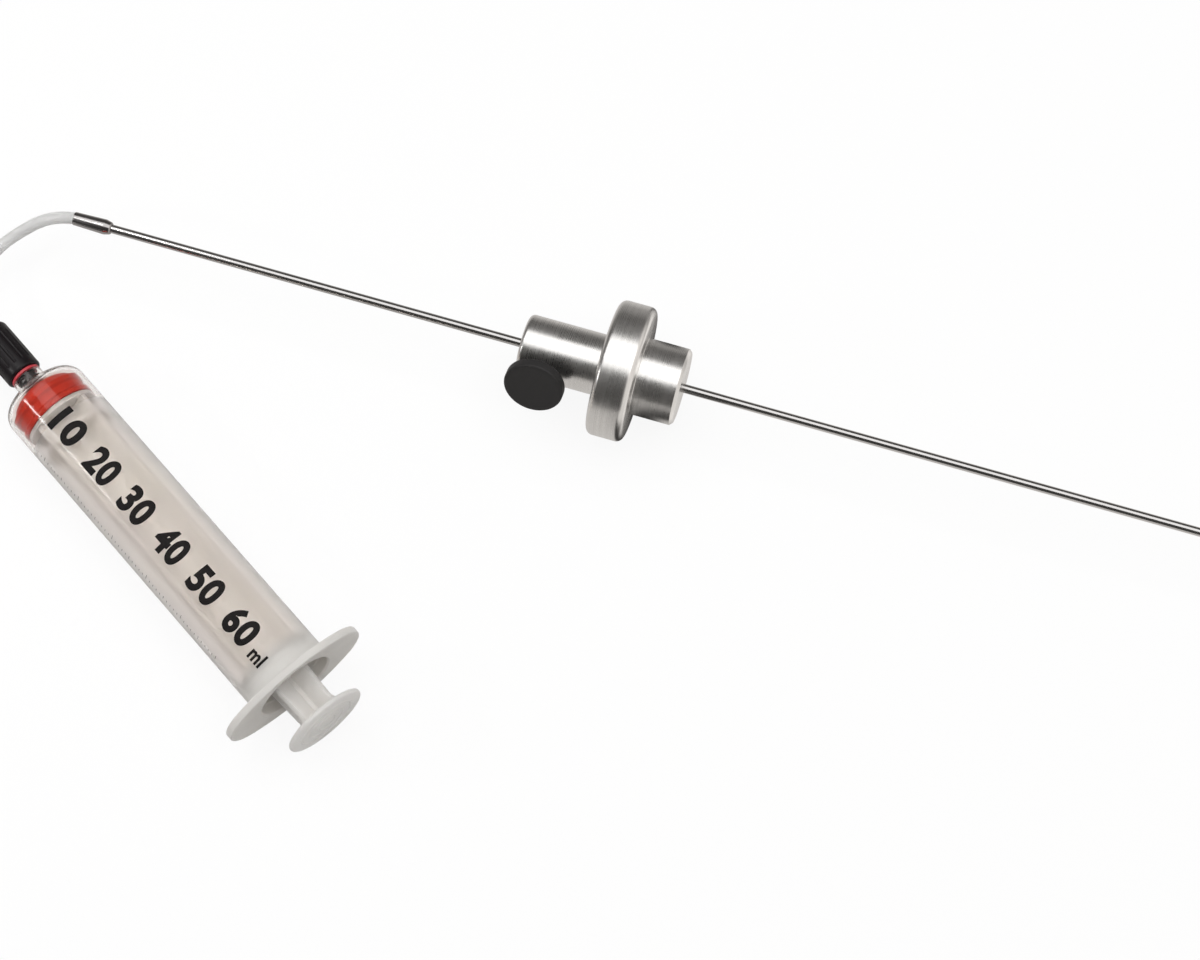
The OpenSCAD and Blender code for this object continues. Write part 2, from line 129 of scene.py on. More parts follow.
class Graph:
    """The node tree of a material or a world, with short ways to add nodes to it."""

    def __init__(self, tree: bpy.types.NodeTree) -> None:
        """Empties the tree and keeps it."""
        self.tree = tree
        tree.nodes.clear()

    def node(
        self,
        kind: str,
        settings: Optional[dict] = None,
        inputs: Optional[dict] = None,
        out: Union[int, str] = 0,
    ) -> Signal:
        """Adds a node.

        Args:
            kind: the node's type name.
            settings: its settings, which are set first.
            inputs: values or links of its sockets, by name or number.
            out: the output socket wanted.

        Returns:
            The chosen output.
        """
        made = self.tree.nodes.new(kind)
        for name, value in (settings or {}).items():
            setattr(made, name, value)
        for name, value in (inputs or {}).items():
            self.feed(made.inputs[name], value)
        return Signal(self, made.outputs[out])

    def feed(self, socket: bpy.types.NodeSocket, value: object) -> None:
        """Links a signal to a socket, or sets the socket's own value.

        Args:
            socket: the input socket.
            value: the signal or the value.
        """
        if isinstance(value, Signal):
            self.tree.links.new(value.socket, socket)
        else:
            socket.default_value = value

    def coords(self, place: Optional["Axle"] = None) -> Signal:
        """Object coordinates in metres.

        Args:
            place: the axis that they are turned and centred on, or None for the frame's own.

        Returns:
            The vector.
        """
        plain = self.node("ShaderNodeTexCoord", out="Object")
        if place is None:
            return plain
        back = place.matrix.inverted()
        inputs = {"Vector": plain, "Location": back.translation, "Rotation": back.to_euler()}
        return self.node("ShaderNodeMapping", inputs=inputs)

    def axes(self, vector: Signal) -> tuple[Signal, ...]:
        """The three parts of a vector."""
        made = self.node("ShaderNodeSeparateXYZ", inputs={0: vector}).socket.node
        return tuple(Signal(self, socket) for socket in made.outputs)

    def around(self, vector: Signal) -> tuple[Signal, Signal]:
        """Place along +X and distance from the X axis."""
        x, y, z = self.axes(vector)
        return x, (y * y + z * z) ** 0.5

    def stretched(self, vector: Signal, x: float, y: float, z: float) -> Signal:
        """A vector with each part times a number."""
        inputs = {0: vector, 1: (x, y, z)}
        return self.node("ShaderNodeVectorMath", {"operation": "MULTIPLY"}, inputs)

    def noise(self, vector: Signal, scale: float, detail: float = 2.0) -> Signal:
        """Noise from 0 to 1, with about scale cells to the metre."""
        inputs = {"Vector": vector, "Scale": scale, "Detail": detail}
        return self.node("ShaderNodeTexNoise", inputs=inputs)

    def line_noise(self, value: Signal, scale: float, detail: float = 2.0) -> Signal:
        """Noise that changes along one number only."""
        inputs = {"W": value, "Scale": scale, "Detail": detail}
        return self.node("ShaderNodeTexNoise", {"noise_dimensions": "1D"}, inputs)

    def remap(self, value: Signal, low: float, high: float, first: float, last: float) -> Signal:
        """Maps low to high onto first to last, smoothly and not beyond."""
        inputs = {0: value, 1: low, 2: high, 3: first, 4: last}
        return self.node("ShaderNodeMapRange", {"interpolation_type": "SMOOTHSTEP"}, inputs)

    def spread(self, value: Signal, low: float, high: float) -> Signal:
        """Maps the middle of a noise's range onto low to high."""
        return self.node("ShaderNodeMapRange", inputs={1: 0.3, 2: 0.7, 3: low, 4: high, 0: value})

    def tint(self, factor: Number, first: Colour, second: Colour) -> Signal:
        """Mixes two colours.

        Args:
            factor: share of the second, from 0 to 1.
            first: one colour.
            second: the other.

        Returns:
            The mixed colour.
        """
        made = self.node("ShaderNodeMix", {"data_type": "RGBA"}, {0: factor}).socket.node
        colours = [socket for socket in made.inputs if socket.type == "RGBA"]
        for socket, colour in zip(colours, (first, second)):
            self.feed(socket, (*colour, 1.0))
        return Signal(self, next(s for s in made.outputs if s.type == "RGBA"))

    def bump(self, height: Signal, distance: float) -> Signal:
        """A bumped normal, from a height of 0 to 1 times distance in metres."""
        return self.node("ShaderNodeBump", inputs={"Height": height, "Distance": distance})

    def mix(self, factor: Number, first: Signal, second: Signal) -> Signal:
        """Mixes two shaders."""
        return self.node("ShaderNodeMixShader", inputs={0: factor, 1: first, 2: second})

    def principled(self, inputs: dict) -> Signal:
        """The Principled shader."""
        return self.node("ShaderNodeBsdfPrincipled", inputs=inputs)

    def output(self, shader: Signal, kind: str = "ShaderNodeOutputMaterial") -> None:
        """Ends the tree with a shader on its surface."""
        self.feed(self.tree.nodes.new(kind).inputs["Surface"], shader)


# ----------------------------------------------------------------------------------- finishes


@dataclass(frozen=True)
class Finish:
    """A finish of the tool's own pieces. Each kind of finish writes its own shader.

    Attributes:
        name: the material's name.
        slot: the record's material slot; not used.
        colour: the base colour.
        roughness: the base roughness.
        place: the axis that the pattern follows, or None for the frame's own.
    """

    name: str
    slot: str
    colour: Colour
    roughness: float
    place: Optional["Axle"] = None

    def material(self) -> bpy.types.Material:
        """Makes the finish's material at its first use.

        Returns:
            The material.
        """
        label = f"{self.name}_finish"
        found = bpy.data.materials.get(label)
        if found is None:
            found = bpy.data.materials.new(label)
            found.use_nodes = True
            graph = Graph(found.node_tree)
            graph.output(self.shader(graph))
        return found

    def shade(self, amount: float) -> Colour:
        """The base colour, darker or lighter by a factor."""
        return tuple(min(1.0, part * amount) for part in self.colour)

    def shader(self, graph: Graph) -> Signal:
        """Writes the finish's shader."""
        raise NotImplementedError


@dataclass(frozen=True)
class TurnedMetal(Finish):
    """Metal turned on a lathe: fine rings round the axis and a soft satin polish.

    Attributes:
        ring: width of the finest rings, in metres.
        depth: their depth, in metres.
    """

    ring: float = 0.00022
    depth: float = 0.000012

    def shader(self, graph: Graph) -> Signal:
        """Rings that follow the turned outline, over a cloudy polish.

        Args:
            graph: the material's node tree.

        Returns:
            The shader.
        """
        where = graph.coords(self.place)
        x, radius = graph.around(where)
        path = x + radius
        rings = graph.line_noise(path, 1 / self.ring, 3.0)
        coarse = graph.line_noise(path, 0.2 / self.ring, 2.0)
        clouds = graph.noise(where, 160.0, 3.0)
        wear = graph.spread(clouds, 0.0, 0.5) + graph.spread(coarse, 0.0, 0.5)
        rough = graph.spread(rings, -0.04, 0.04) + graph.spread(clouds, -0.03, 0.03)
        return graph.principled({
            "Base Color": graph.tint(wear, self.shade(0.9), self.shade(1.04)),
            "Metallic": 1.0,
            "Roughness": rough + self.roughness,
            "Normal": graph.bump(rings + coarse, self.depth),
        })


@dataclass(frozen=True)
class DrawnMetal(Finish):
    """Metal tube that was drawn through a die: smooth, with faint lines along it."""

    def shader(self, graph: Graph) -> Signal:
        """Long fine lines in roughness and relief.

        Args:
            graph: the material's node tree.

        Returns:
            The shader.
        """
        where = graph.coords(self.place)
        lines = graph.noise(graph.stretched(where, 12.0, 2600.0, 2600.0), 1.0, 2.0)
        patches = graph.noise(where, 90.0, 2.0)
        rough = graph.spread(lines, -0.03, 0.03) + graph.spread(patches, -0.02, 0.02)
        return graph.principled({
            "Base Color": graph.tint(graph.spread(patches, 0, 1), self.shade(0.93), self.colour),
            "Metallic": 1.0,
            "Roughness": rough + self.roughness,
            "Normal": graph.bump(lines, 0.000002),
        })


@dataclass(frozen=True)
class Plastic(Finish):
    """Opaque or milky moulded plastic or rubber.

    Attributes:
        grain: size of the surface's fine texture, in metres.
        relief: depth of that texture, in metres.
        milky: share of light that scatters inside.
        glow: how far that light spreads, in metres.
        clear: share of light that passes through.
        shine: strength of its gloss, where 0.5 is plain plastic.
    """

    grain: float = 0.0004
    relief: float = 0.00001
    milky: float = 0.0
    glow: float = 0.002
    clear: float = 0.0
    shine: float = 0.5

    def shader(self, graph: Graph) -> Signal:
        """Slightly uneven gloss over a fine moulded texture.

        Args:
            graph: the material's node tree.

        Returns:
            The shader.
        """
        where = graph.coords(self.place)
        fine = graph.noise(where, 1 / self.grain, 3.0)
        patches = graph.noise(where, 70.0, 3.0)
        rough = graph.spread(fine, -0.04, 0.04) + graph.spread(patches, -0.05, 0.05)
        cloudy = graph.spread(patches, 0, 1)
        return graph.principled({
            "Base Color": graph.tint(cloudy, self.shade(0.92), self.shade(1.06)),
            "Roughness": rough + self.roughness,
            "Subsurface Weight": self.milky,
            "Subsurface Radius": (1.0, 1.0, 1.0),
            "Subsurface Scale": self.glow,
            "Transmission Weight": self.clear,
            "Specular IOR Level": self.shine,
            "IOR": 1.49,
            "Normal": graph.bump(fine, self.relief),
        })


@dataclass(frozen=True)
class ClearPlastic(Finish):
    """Thin natural plastic: what touches it shows clearly and what lies deeper is blurred.

    Attributes:
        blush: the colour of its other flow streaks.
        veil: share of milky scatter in thin walls.
        polished_to: place along the axis up to which it is polished clear, in metres, or None.
        thick_from: place along the axis from which it is thick and milky, in metres, or None.
        thick_fade: length over which it thickens, in metres.
        thick_veil: share of milky scatter there.
        slant_veil: share of milky scatter added where the wall is seen edge on.
        milk: colour of the milky part.
        bend: index of refraction of the clear part, low because its walls are thin.
    """

    blush: Colour = (0.9, 0.88, 0.87)
    veil: float = 0.0
    polished_to: Optional[float] = None
    thick_from: Optional[float] = None
    thick_fade: float = 0.008
    thick_veil: float = 0.92
    slant_veil: float = 0.55
    milk: Colour = (0.66, 0.645, 0.62)
    bend: float = 1.22

    def clear(self, graph: Graph, flow: Signal, rough: Signal) -> Signal:
        """See-through plastic with a thin gloss.

        Args:
            graph: the material's node tree.
            flow: the flow streaks, from 0 to 1.
            rough: the roughness.

        Returns:
            The shader.
        """
        return graph.principled({
            "Base Color": graph.tint(flow, self.colour, self.blush),
            "Roughness": rough,
            "IOR": self.bend,
            "Transmission Weight": 1.0,
            "Coat Weight": 0.18,
            "Coat Roughness": 0.07,
        })

    def milky(self, graph: Graph, flow: Signal, rough: Signal, where: Signal) -> Signal:
        """Plastic that scatters light.

        Args:
            graph: the material's node tree.
            flow: the flow streaks, from 0 to 1.
            rough: the roughness of the clear part, which this one exceeds.
            where: the coordinates that its texture follows.

        Returns:
            The shader.
        """
        streak = tuple(0.94 * part for part in self.milk)
        return graph.principled({
            "Base Color": graph.tint(flow, self.milk, streak),
            "Roughness": rough + 0.15,
            "Subsurface Weight": 0.7,
            "Subsurface Radius": (1.0, 1.0, 1.0),
            "Subsurface Scale": 0.004,
            "Normal": graph.bump(graph.noise(where, 400.0, 2.0), 0.00001),
        })

    def shader(self, graph: Graph) -> Signal:
        """Clear plastic with long flow streaks, milky where it is thick or seen edge on.

        Args:
            graph: the material's node tree.

        Returns:
            The shader.
        """
        where = graph.coords(self.place)
        x, _, _ = graph.axes(where)
        streaks = graph.noise(graph.stretched(where, 0.22, 1.0, 1.0), 110.0, 2.0)
        flow = graph.spread(streaks, 0, 1)
        rough = graph.spread(streaks, -0.03, 0.03) + self.roughness
        slant = graph.node("ShaderNodeLayerWeight", inputs={"Blend": 0.5}, out="Facing")
        veil = graph.spread(streaks, 0.8 * self.veil, 1.2 * self.veil)
        veil = veil + graph.remap(slant, 0.3, 0.95, 0.0, self.slant_veil)
        if self.polished_to is not None:
            edge = self.polished_to
            rough = rough * graph.remap(x, edge - 0.001, edge + 0.001, 0.3, 1.0)
            veil = veil * graph.remap(x, edge, edge + 0.006, 0.3, 1.0)
        if self.thick_from is not None:
            thick = self.thick_from + self.thick_fade
            veil = veil + graph.remap(x, self.thick_from, thick, 0.0, self.thick_veil)
        return graph.mix(
            veil, self.clear(graph, flow, rough), self.milky(graph, flow, rough, where),
        )


@dataclass(frozen=True)
class Ink(Finish):
    """Screen-printed ink."""

    def shader(self, graph: Graph) -> Signal:
        """Nearly flat colour, a little uneven in cover.

        Args:
            graph: the material's node tree.

        Returns:
            The shader.
        """
        specks = graph.noise(graph.coords(self.place), 1400.0, 3.0)
        return graph.principled({
            "Base Color": graph.tint(graph.spread(specks, 0, 1), self.colour, self.shade(1.8)),
            "Roughness": graph.spread(specks, -0.05, 0.05) + self.roughness,
            "Specular IOR Level": 0.06,
        })


# ------------------------------------------------------------------------------------ shaping


@dataclass(frozen=True)
class Axle:
    """An axis in the frame, on which a piece drawn along +X is placed.

    Attributes:
        origin: a point in the frame, in metres.
        along: the direction of the piece's +X.
        up: a direction that the piece's +Z leans to.
    """

    origin: Triple
    along: Triple
    up: Triple = (0.0, 0.0, 1.0)

    @property
    def matrix(self) -> Matrix:
        """What turns and moves a piece from its own axes to the frame.

        Returns:
            The transform, in metres.
        """
        x = Vector(self.along).normalized()
        y = Vector(self.up).cross(x).normalized()
        turn = Matrix((x, y, x.cross(y))).transposed().to_4x4()
        return Matrix.Translation(self.origin) @ turn

    def span(self, node: bpy.types.Object) -> tuple[float, float, float]:
        """Measures a CAD node along the axis.

        Args:
            node: the node.

        Returns:
            Its first and last place and its largest radius, in mm.
        """
        back = self.matrix.inverted()
        points = [back @ vertex.co for vertex in node.data.vertices]
        places = [point.x / MM for point in points]
        return min(places), max(places), max(math.hypot(p.y, p.z) for p in points) / MM


def stored(name: str, mesh: bmesh.types.BMesh) -> bpy.types.Mesh:
    """Keeps a shape as mesh data and frees it.

    Args:
        name: the data's name.
        mesh: the shape.

    Returns:
        The data.
    """
    data = bpy.data.meshes.new(name)
    mesh.to_mesh(data)
    mesh.free()
    return data


def placed(name: str, data: bpy.types.ID) -> bpy.types.Object:
    """Puts some data in the scene.

    Args:
        name: the object's name.
        data: the mesh, curve, lamp or camera.

    Returns:
        The new object.
    """
    made = bpy.data.objects.new(name, data)
    bpy.context.scene.collection.objects.link(made)
    return made


def turned_by(mesh: bmesh.types.BMesh, angle: float) -> bmesh.types.BMesh:
    """Turns a shape about its own X axis and returns it."""
    mesh.transform(Matrix.Rotation(angle, 4, "X"))
    return mesh


def gathered(meshes: Iterable[bmesh.types.BMesh]) -> bmesh.types.BMesh:
    """Puts separate shapes into one mesh and frees them.

    Args:
        meshes: the shapes.

    Returns:
        The mesh that holds them all.
    """
    whole = bmesh.new()
    for mesh in meshes:
        data = stored("gathering", mesh)
        whole.from_mesh(data)
        bpy.data.meshes.remove(data)
    return whole


def rounded(corners: Sequence[Corner], closed: bool, steps: int) -> list[Vector]:
    """Rounds the corners of an outline.

    Args:
        corners: (place, radius, rounding) in order along the outline.
        closed: whether the last corner runs back to the first.
        steps: number of edges in each rounding.

    Returns:
        The outline's points in the XZ plane.
    """
    points = [Vector((x, 0.0, r)) for x, r, _ in corners]
    outline = []
    for i, (point, (_, _, radius)) in enumerate(zip(points, corners)):
        at_end = not closed and i in (0, len(points) - 1)
        if radius <= 0 or at_end:
            outline.append(point)
            continue
        before = points[i - 1] - point
        after = points[(i + 1) % len(points)] - point
        half = before.angle(after) / 2
        shared = [corners[i - 1][2] > 0, corners[(i + 1) % len(points)][2] > 0]
        legs = zip((before, after), shared)
        limits = [leg.length * (0.48 if other else 0.98) for leg, other in legs]
        reach = min(radius / math.tan(half), *limits)
        middle = (before.normalized() + after.normalized()).normalized()
        centre = point + middle * (reach / math.cos(half))
        first = point + before.normalized() * reach - centre
        last = point + after.normalized() * reach - centre
        turns = (first.slerp(last, k / steps) for k in range(steps + 1))
        outline += [centre + turn.normalized() * first.length for turn in turns]
    return outline


def lathe(
    corners: Sequence[Corner], closed: bool = True, steps: int = 6, segments: int = SEGMENTS
) -> bmesh.types.BMesh:
    """Turns an outline about the X axis.

    Args:
        corners: the outline, as in rounded().
        closed: whether the outline is a loop; otherwise it starts and ends on the axis.
        steps: number of edges in each rounding.
        segments: number of steps round the axis.

    Returns:
        The closed skin, in millimetres.
    """
    mesh = bmesh.new()
    verts = [mesh.verts.new(point) for point in rounded(corners, closed, steps)]
    pairs = list(zip(verts, verts[1:])) + ([(verts[-1], verts[0])] if closed else [])
    edges = [mesh.edges.new(pair) for pair in pairs]
    bmesh.ops.spin(
        mesh, geom=verts + edges, cent=(0, 0, 0), axis=(1, 0, 0), dvec=(0, 0, 0),
        angle=math.tau, steps=segments, use_merge=True, use_duplicate=False,
    )
    bmesh.ops.remove_doubles(mesh, verts=mesh.verts, dist=1e-5)
    bmesh.ops.recalc_face_normals(mesh, faces=mesh.faces)
    return mesh


def ridge(
    root: float, crest: float, pitch: float, start: float, turns: float, width: float,
    segments: int = 48,
) -> bmesh.types.BMesh:
    """A screw thread's ridge, which runs out at both ends.

    Args:
        root: radius that its foot lies at.
        crest: radius of its crest.
        pitch: distance from one turn to the next.
        start: place of its first end along +X.
        turns: number of turns.
        width: width of its foot.
        segments: number of steps in one turn.

    Returns:
        The ridge as a closed skin.
    """
    mesh = bmesh.new()
    flat = width * 0.3
    outline = ((0, root), ((width - flat) / 2, crest), ((width + flat) / 2, crest), (width, root))
    face = mesh.faces.new([mesh.verts.new((start + x, 0, r)) for x, r in outline])
    steps = round(turns * segments)
    bmesh.ops.spin(
        mesh, geom=[face], cent=(0, 0, 0), axis=(1, 0, 0), dvec=(pitch / segments, 0, 0),
        angle=math.tau * turns, steps=steps, use_merge=False, use_duplicate=False,
    )
    fade = 0.25 * pitch
    last = start + steps * pitch / segments + width
    for vert in mesh.verts:
        radius = math.hypot(vert.co.y, vert.co.z)
        if radius > root + 1e-4:
            place = min(vert.co.x - start, last - vert.co.x) - width / 2
            lower = root + (radius - root) * min(1.0, max(0.02, place / fade))
            vert.co.y *= lower / radius
            vert.co.z *= lower / radius
    bmesh.ops.recalc_face_normals(mesh, faces=mesh.faces)
    return mesh


def plate(outline: Iterable[Vector], thickness: float, rounding: float) -> bmesh.types.BMesh:
    """A flat plate in the XZ plane with rounded edges.

    Args:
        outline: the points of its outline in order.
        thickness: its thickness along Y, half of it on each side.
        rounding: radius of its edges.

    Returns:
        The plate, in millimetres.
    """
    mesh = bmesh.new()
    face = mesh.faces.new([mesh.verts.new((p.x, -thickness / 2, p.z)) for p in outline])
    raised = bmesh.ops.extrude_face_region(mesh, geom=[face])["geom"]
    moved = [part for part in raised if isinstance(part, bmesh.types.BMVert)]
    bmesh.ops.translate(mesh, verts=moved, vec=(0, thickness, 0))
    bmesh.ops.recalc_face_normals(mesh, faces=mesh.faces)
    rims = [e for e in mesh.edges if abs(e.verts[0].co.y - e.verts[1].co.y) < 1e-6]
    bmesh.ops.bevel(
        mesh, geom=rims, offset=rounding, offset_type="OFFSET", segments=3,
        profile=0.5, affect="EDGES", material=-1, clamp_overlap=True,
    )
    return mesh


class Cut(Enum):
    """What one shape does to another."""

    JOIN = "UNION"
    REMOVE = "DIFFERENCE"


def carve(body: bmesh.types.BMesh, tool: bmesh.types.BMesh, cut: Cut) -> bmesh.types.BMesh:
    """Joins a shape to a body or removes it from it, and frees both.

    Args:
        body: the shape that is worked on.
        tool: the other shape.
        cut: what is done with it.

    Returns:
        The result.
    """
    objects = [placed("carving", stored("carving", mesh)) for mesh in (body, tool)]
    step = objects[0].modifiers.new("carve", "BOOLEAN")
    step.operation, step.solver, step.object = cut.value, "EXACT", objects[1]
    done = objects[0].evaluated_get(bpy.context.evaluated_depsgraph_get())
    result = bmesh.new()
    result.from_mesh(done.to_mesh())
    done.to_mesh_clear()
    for made in objects:
        data = made.data
        bpy.data.objects.remove(made)
        bpy.data.meshes.remove(data)
    bmesh.ops.remove_doubles(result, verts=result.verts, dist=1e-4)
    bmesh.ops.dissolve_degenerate(result, edges=result.edges, dist=1e-4)
    return result


def evaluated(curve: bpy.types.Curve) -> bmesh.types.BMesh:
    """Makes a mesh of a curve or a text and removes the curve.

    Args:
        curve: the curve or text, with its settings.

    Returns:
        Its mesh, in the curve's own units.
    """
    holder = placed("drawing", curve)
    done = holder.evaluated_get(bpy.context.evaluated_depsgraph_get())
    mesh = bmesh.new()
    mesh.from_mesh(done.to_mesh())
    done.to_mesh_clear()
    bpy.data.objects.remove(holder)
    bpy.data.curves.remove(curve)
    return mesh


@dataclass
class Assembly:
    """A group of pieces on one axis. Each kind builds and dresses its own.

    Attributes:
        nodes: the CAD nodes by name.
        axle: the axis that its pieces lie on.
    """

    nodes: dict
    axle: Axle

    def span(self, node: str) -> tuple[float, float, float]:
        """First and last place of a CAD node along the axis and its largest radius, in mm."""
        return self.axle.span(self.nodes[node])

    def add(
        self, name: str, mesh: bmesh.types.BMesh, finish: Finish, body: str, *replaces: str
    ) -> bpy.types.Object:
        """Makes a finished piece of the object on the group's axis.

        Args:
            name: the piece's name.
            mesh: its shape along +X, in millimetres; it is freed.
            finish: what it is made of.
            body: the CAD body that it rides on.
            replaces: CAD nodes that it stands for.

        Returns:
            The piece.
        """
        mesh.transform(self.axle.matrix @ Matrix.Scale(MM, 4))
        for face in mesh.faces:
            face.smooth = True
        for edge in mesh.edges:
            edge.smooth = edge.calc_face_angle(0.0) < SHARP_ANGLE
        made = placed(name, stored(name, mesh))
        made.data.materials.append(finish.material())
        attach(made, body)
        if replaces:
            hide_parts(*replaces)
        LOG.info("%s: %s on %s, %d faces", name, finish.name, body, len(made.data.polygons))
        return made

    def build(self) -> None:
        """Makes the group's pieces."""
        raise NotImplementedError


# -------------------------------------------------------------------------------- tube and hose


@dataclass
class SuctionTube(Assembly):
    """The long suction tube and the ferrule that is swaged over its end.

    Attributes:
        bore: radius of the tube's bore, in mm.
        sleeve_bore: radius of the ferrule's bore over the hose, in mm.
        wall: wall of the ferrule at the hose, in mm.
        grip: radius of the ferrule's end that grips the bare tube, in mm.
        swage: length of that end, in mm.
    """

    bore: float = 1.0
    sleeve_bore: float = 2.07
    wall: float = 0.2
    grip: float = 1.55
    swage: float = 2.2

    def build(self) -> None:
        """Makes the tube and the ferrule."""
        steel = DrawnMetal("drawn_steel", "tube_steel", (0.5, 0.488, 0.48), 0.17)
        start, end, radius = self.span("suction_tube")
        tube = lathe([
            (start, self.bore, 0.08), (start, radius, 0.12),
            (end - 0.2, radius, 0.1), (end, radius - 0.2, 0.05), (end, self.bore, 0.08),
        ], segments=64)
        self.add("suction_tube_body", tube, steel, "tool", "suction_tube")

        polished = DrawnMetal("swaged_steel", "ferrule_steel", (0.38, 0.365, 0.36), 0.18)
        rear, front, outer = self.span("crimp_ferrule")
        throat = front - self.swage
        ferrule = lathe([
            (rear, self.sleeve_bore, 0.06), (rear, self.sleeve_bore + self.wall, 0.12),
            (front - 2.4, outer, 2.5), (front - 0.4, outer - 0.5, 0.6),
            (front, self.grip + 0.15, 0.2), (front, self.grip, 0),
            (throat, self.grip, 0), (throat, self.sleeve_bore, 0.05),
        ], segments=96, steps=12)
        self.add("ferrule_sleeve", ferrule, polished, "tool", "crimp_ferrule")


@dataclass
class Hose(Assembly):
    """The short springy hose between the ferrule and the connector.

    Attributes:
        diameter: its outside diameter, in mm.
        bore: its bore, in mm.
        length: its length with both pushed-in ends, in metres; not used.
        route: the points that its centre line runs through.
    """

    diameter: float = 4.1
    bore: float = 3.04
    length: float = 0.085
    route: tuple[Triple, ...] = (
        (-0.1875, 0, 0), (-0.193, 0, 0), (-0.1985, 0, 0),
        (-0.2065, -0.0015, -0.002), (-0.2115, -0.0035, -0.0045), (-0.214, -0.005, -0.006),
        (-0.2185, -0.0085, -0.0085), (-0.222, -0.0125, -0.01), (-0.225, -0.0185, -0.011),
        (-0.226, -0.023, -0.011), (-0.226, -0.0285, -0.0105), (-0.225, -0.0325, -0.01),
        (-0.223, -0.0365, -0.0095), (-0.22, -0.04, -0.009),
        (-0.2149, -0.0443, -0.0085), (-0.2115, -0.0465, -0.0085), (-0.2082, -0.0485, -0.0084),
    )

    def skin(self, diameter: float) -> bmesh.types.BMesh:
        """One smooth spline through the route, as an open tube or as a bare line.

        Args:
            diameter: the tube's diameter in mm, or 0 for the line.

        Returns:
            The tube or the line, in metres.
        """
        curve = bpy.data.curves.new("hose_line", "CURVE")
        curve.dimensions = "3D"
        curve.resolution_u = 8
        spline = curve.splines.new("BEZIER")
        spline.bezier_points.add(len(self.route) - 1)
        for knot, point in zip(spline.bezier_points, self.route):
            knot.co = point
            knot.handle_left_type = knot.handle_right_type = "AUTO"
        curve.bevel_depth = diameter / 2 * MM
        curve.bevel_resolution = 12
        return evaluated(curve)

    def build(self) -> None:
        vinyl = ClearPlastic(
            "milky_hose", "clear_hose", (0.97, 0.97, 0.96), 0.35,
            blush=(0.95, 0.95, 0.94), veil=0.6, milk=(0.9, 0.9, 0.89),
        )
        shell = gathered([self.skin(self.diameter), self.skin(self.bore)])
        rims = [edge for edge in shell.edges if edge.is_boundary]
        for end in (self.route[0], self.route[-1]):
            near = [e for e in rims if (e.verts[0].co - Vector(end)).length < self.diameter * MM]
            bmesh.ops.bridge_loops(shell, edges=near)
        bmesh.ops.recalc_face_normals(shell, faces=shell.faces)
        shell.transform(Matrix.Scale(1 / MM, 4))
        made = self.add("hose_body", shell, vinyl, "tool", "hose")
        line = self.skin(0.0)
        line.free()


# -------------------------------------------------------------------------------------- syringe


@dataclass
class HoseConnector(Assembly):
    """The black lock fitting that the hose is glued into, and its red seal ring.

    Attributes:
        flutes: number of shallow flutes round the grip.
        flute: radius of a flute, in mm, and flute_depth how deep it is cut.
        flute_ends: how far from the grip's two ends the flutes stop, in mm.
        hub: radius of the part inside the lock ring, in mm.
        crest: radius of its thread, thread_at its place and thread_w its width, all in mm.
        pitch: pitch of its thread, in mm.
        turns: number of turns of its thread.
        socket: radius of the hose's socket, in mm, and socket_l its depth.
        channel: radius of the channel through it, in mm.
        taper: radii of the nozzle's seat at its mouth and at its foot, in mm.
        taper_l: how far behind the grip's face that foot lies, in mm.
        seal_bore: radius of the seal ring's bore, in mm.
    """

    flutes: int = 14
    flute: float = 0.8
    flute_depth: float = 0.3
    flute_ends: tuple[float, float] = (4.4, 3.0)
    hub: float = 3.2
    crest: float = 4.0
    thread_at: float = 1.15
    thread_w: float = 1.1
    pitch: float = 2.2
    turns: float = 1.25
    socket: float = 2.15
    socket_l: float = 8.0
    channel: float = 1.1
    taper: tuple[float, float] = (2.2, 1.97)
    taper_l: float = 2.5
    seal_bore: float = 3.65

    def build(self) -> None:
        """Makes the fitting and the seal ring."""
        self.build_fitting()
        near, far, outer = self.span("connector_seal")
        inner = self.seal_bore
        ring = lathe([(near, inner, 0.1), (near, outer, 0.3), (far, outer, 0.3), (far, inner, 0.1)])
        red = Plastic("red_rubber", "red_seal", (0.50, 0.045, 0.06), 0.36, self.axle)
        self.add("seal_ring", ring, red, "tool", "connector_seal")

    def grooves(self, start: float, radius: float) -> bmesh.types.BMesh:
        """The round-ended rods that cut the flutes into a grip.

        Args:
            start: place of the grip's hose end, in mm.
            radius: the grip's radius, in mm.

        Returns:
            All of them in one mesh.
        """
        first, last, tip = start + self.flute_ends[0], -self.flute_ends[1], 0.5
        side = [(first, 0, 0), (first, self.flute, tip), (last, self.flute, tip), (last, 0, 0)]
        away = Matrix.Translation((0, 0, radius + self.flute - self.flute_depth))
        rods = []
        for k in range(self.flutes):
            rod = lathe(side, closed=False, segments=24)
            rod.transform(away)
            rods.append(turned_by(rod, math.tau * k / self.flutes))
        return gathered(rods)

    def build_fitting(self) -> None:
        """The grip, the threaded hub and the channel through them, in one moulding."""
        start, end, radius = self.span("hose_connector")
        mouth, foot = self.taper
        floor = start + self.socket_l
        body = lathe([
            (start, self.socket, 0.2), (start, radius, 3.8), (0, radius, 0.8), (0, self.hub, 0.1),
            (end, self.hub, 0.3), (end, mouth, 0.15), (-self.taper_l, foot, 0.1),
            (-self.taper_l, self.channel, 0.1), (floor, self.channel, 0.1),
            (floor, self.socket, 0.1),
        ], steps=8)
        body = carve(body, self.grooves(start, radius), Cut.REMOVE)
        thread = ridge(
            self.hub - 0.1, self.crest, self.pitch, self.thread_at, self.turns, self.thread_w,
        )
        body = carve(body, thread, Cut.JOIN)
        black = Plastic(
            "black_nylon", "black_plastic", (0.010, 0.008, 0.009), 0.34, self.axle,
            grain=0.0005, relief=0.00001, shine=0.2,
        )
        self.add("connector_body", body, black, "tool", "hose_connector")


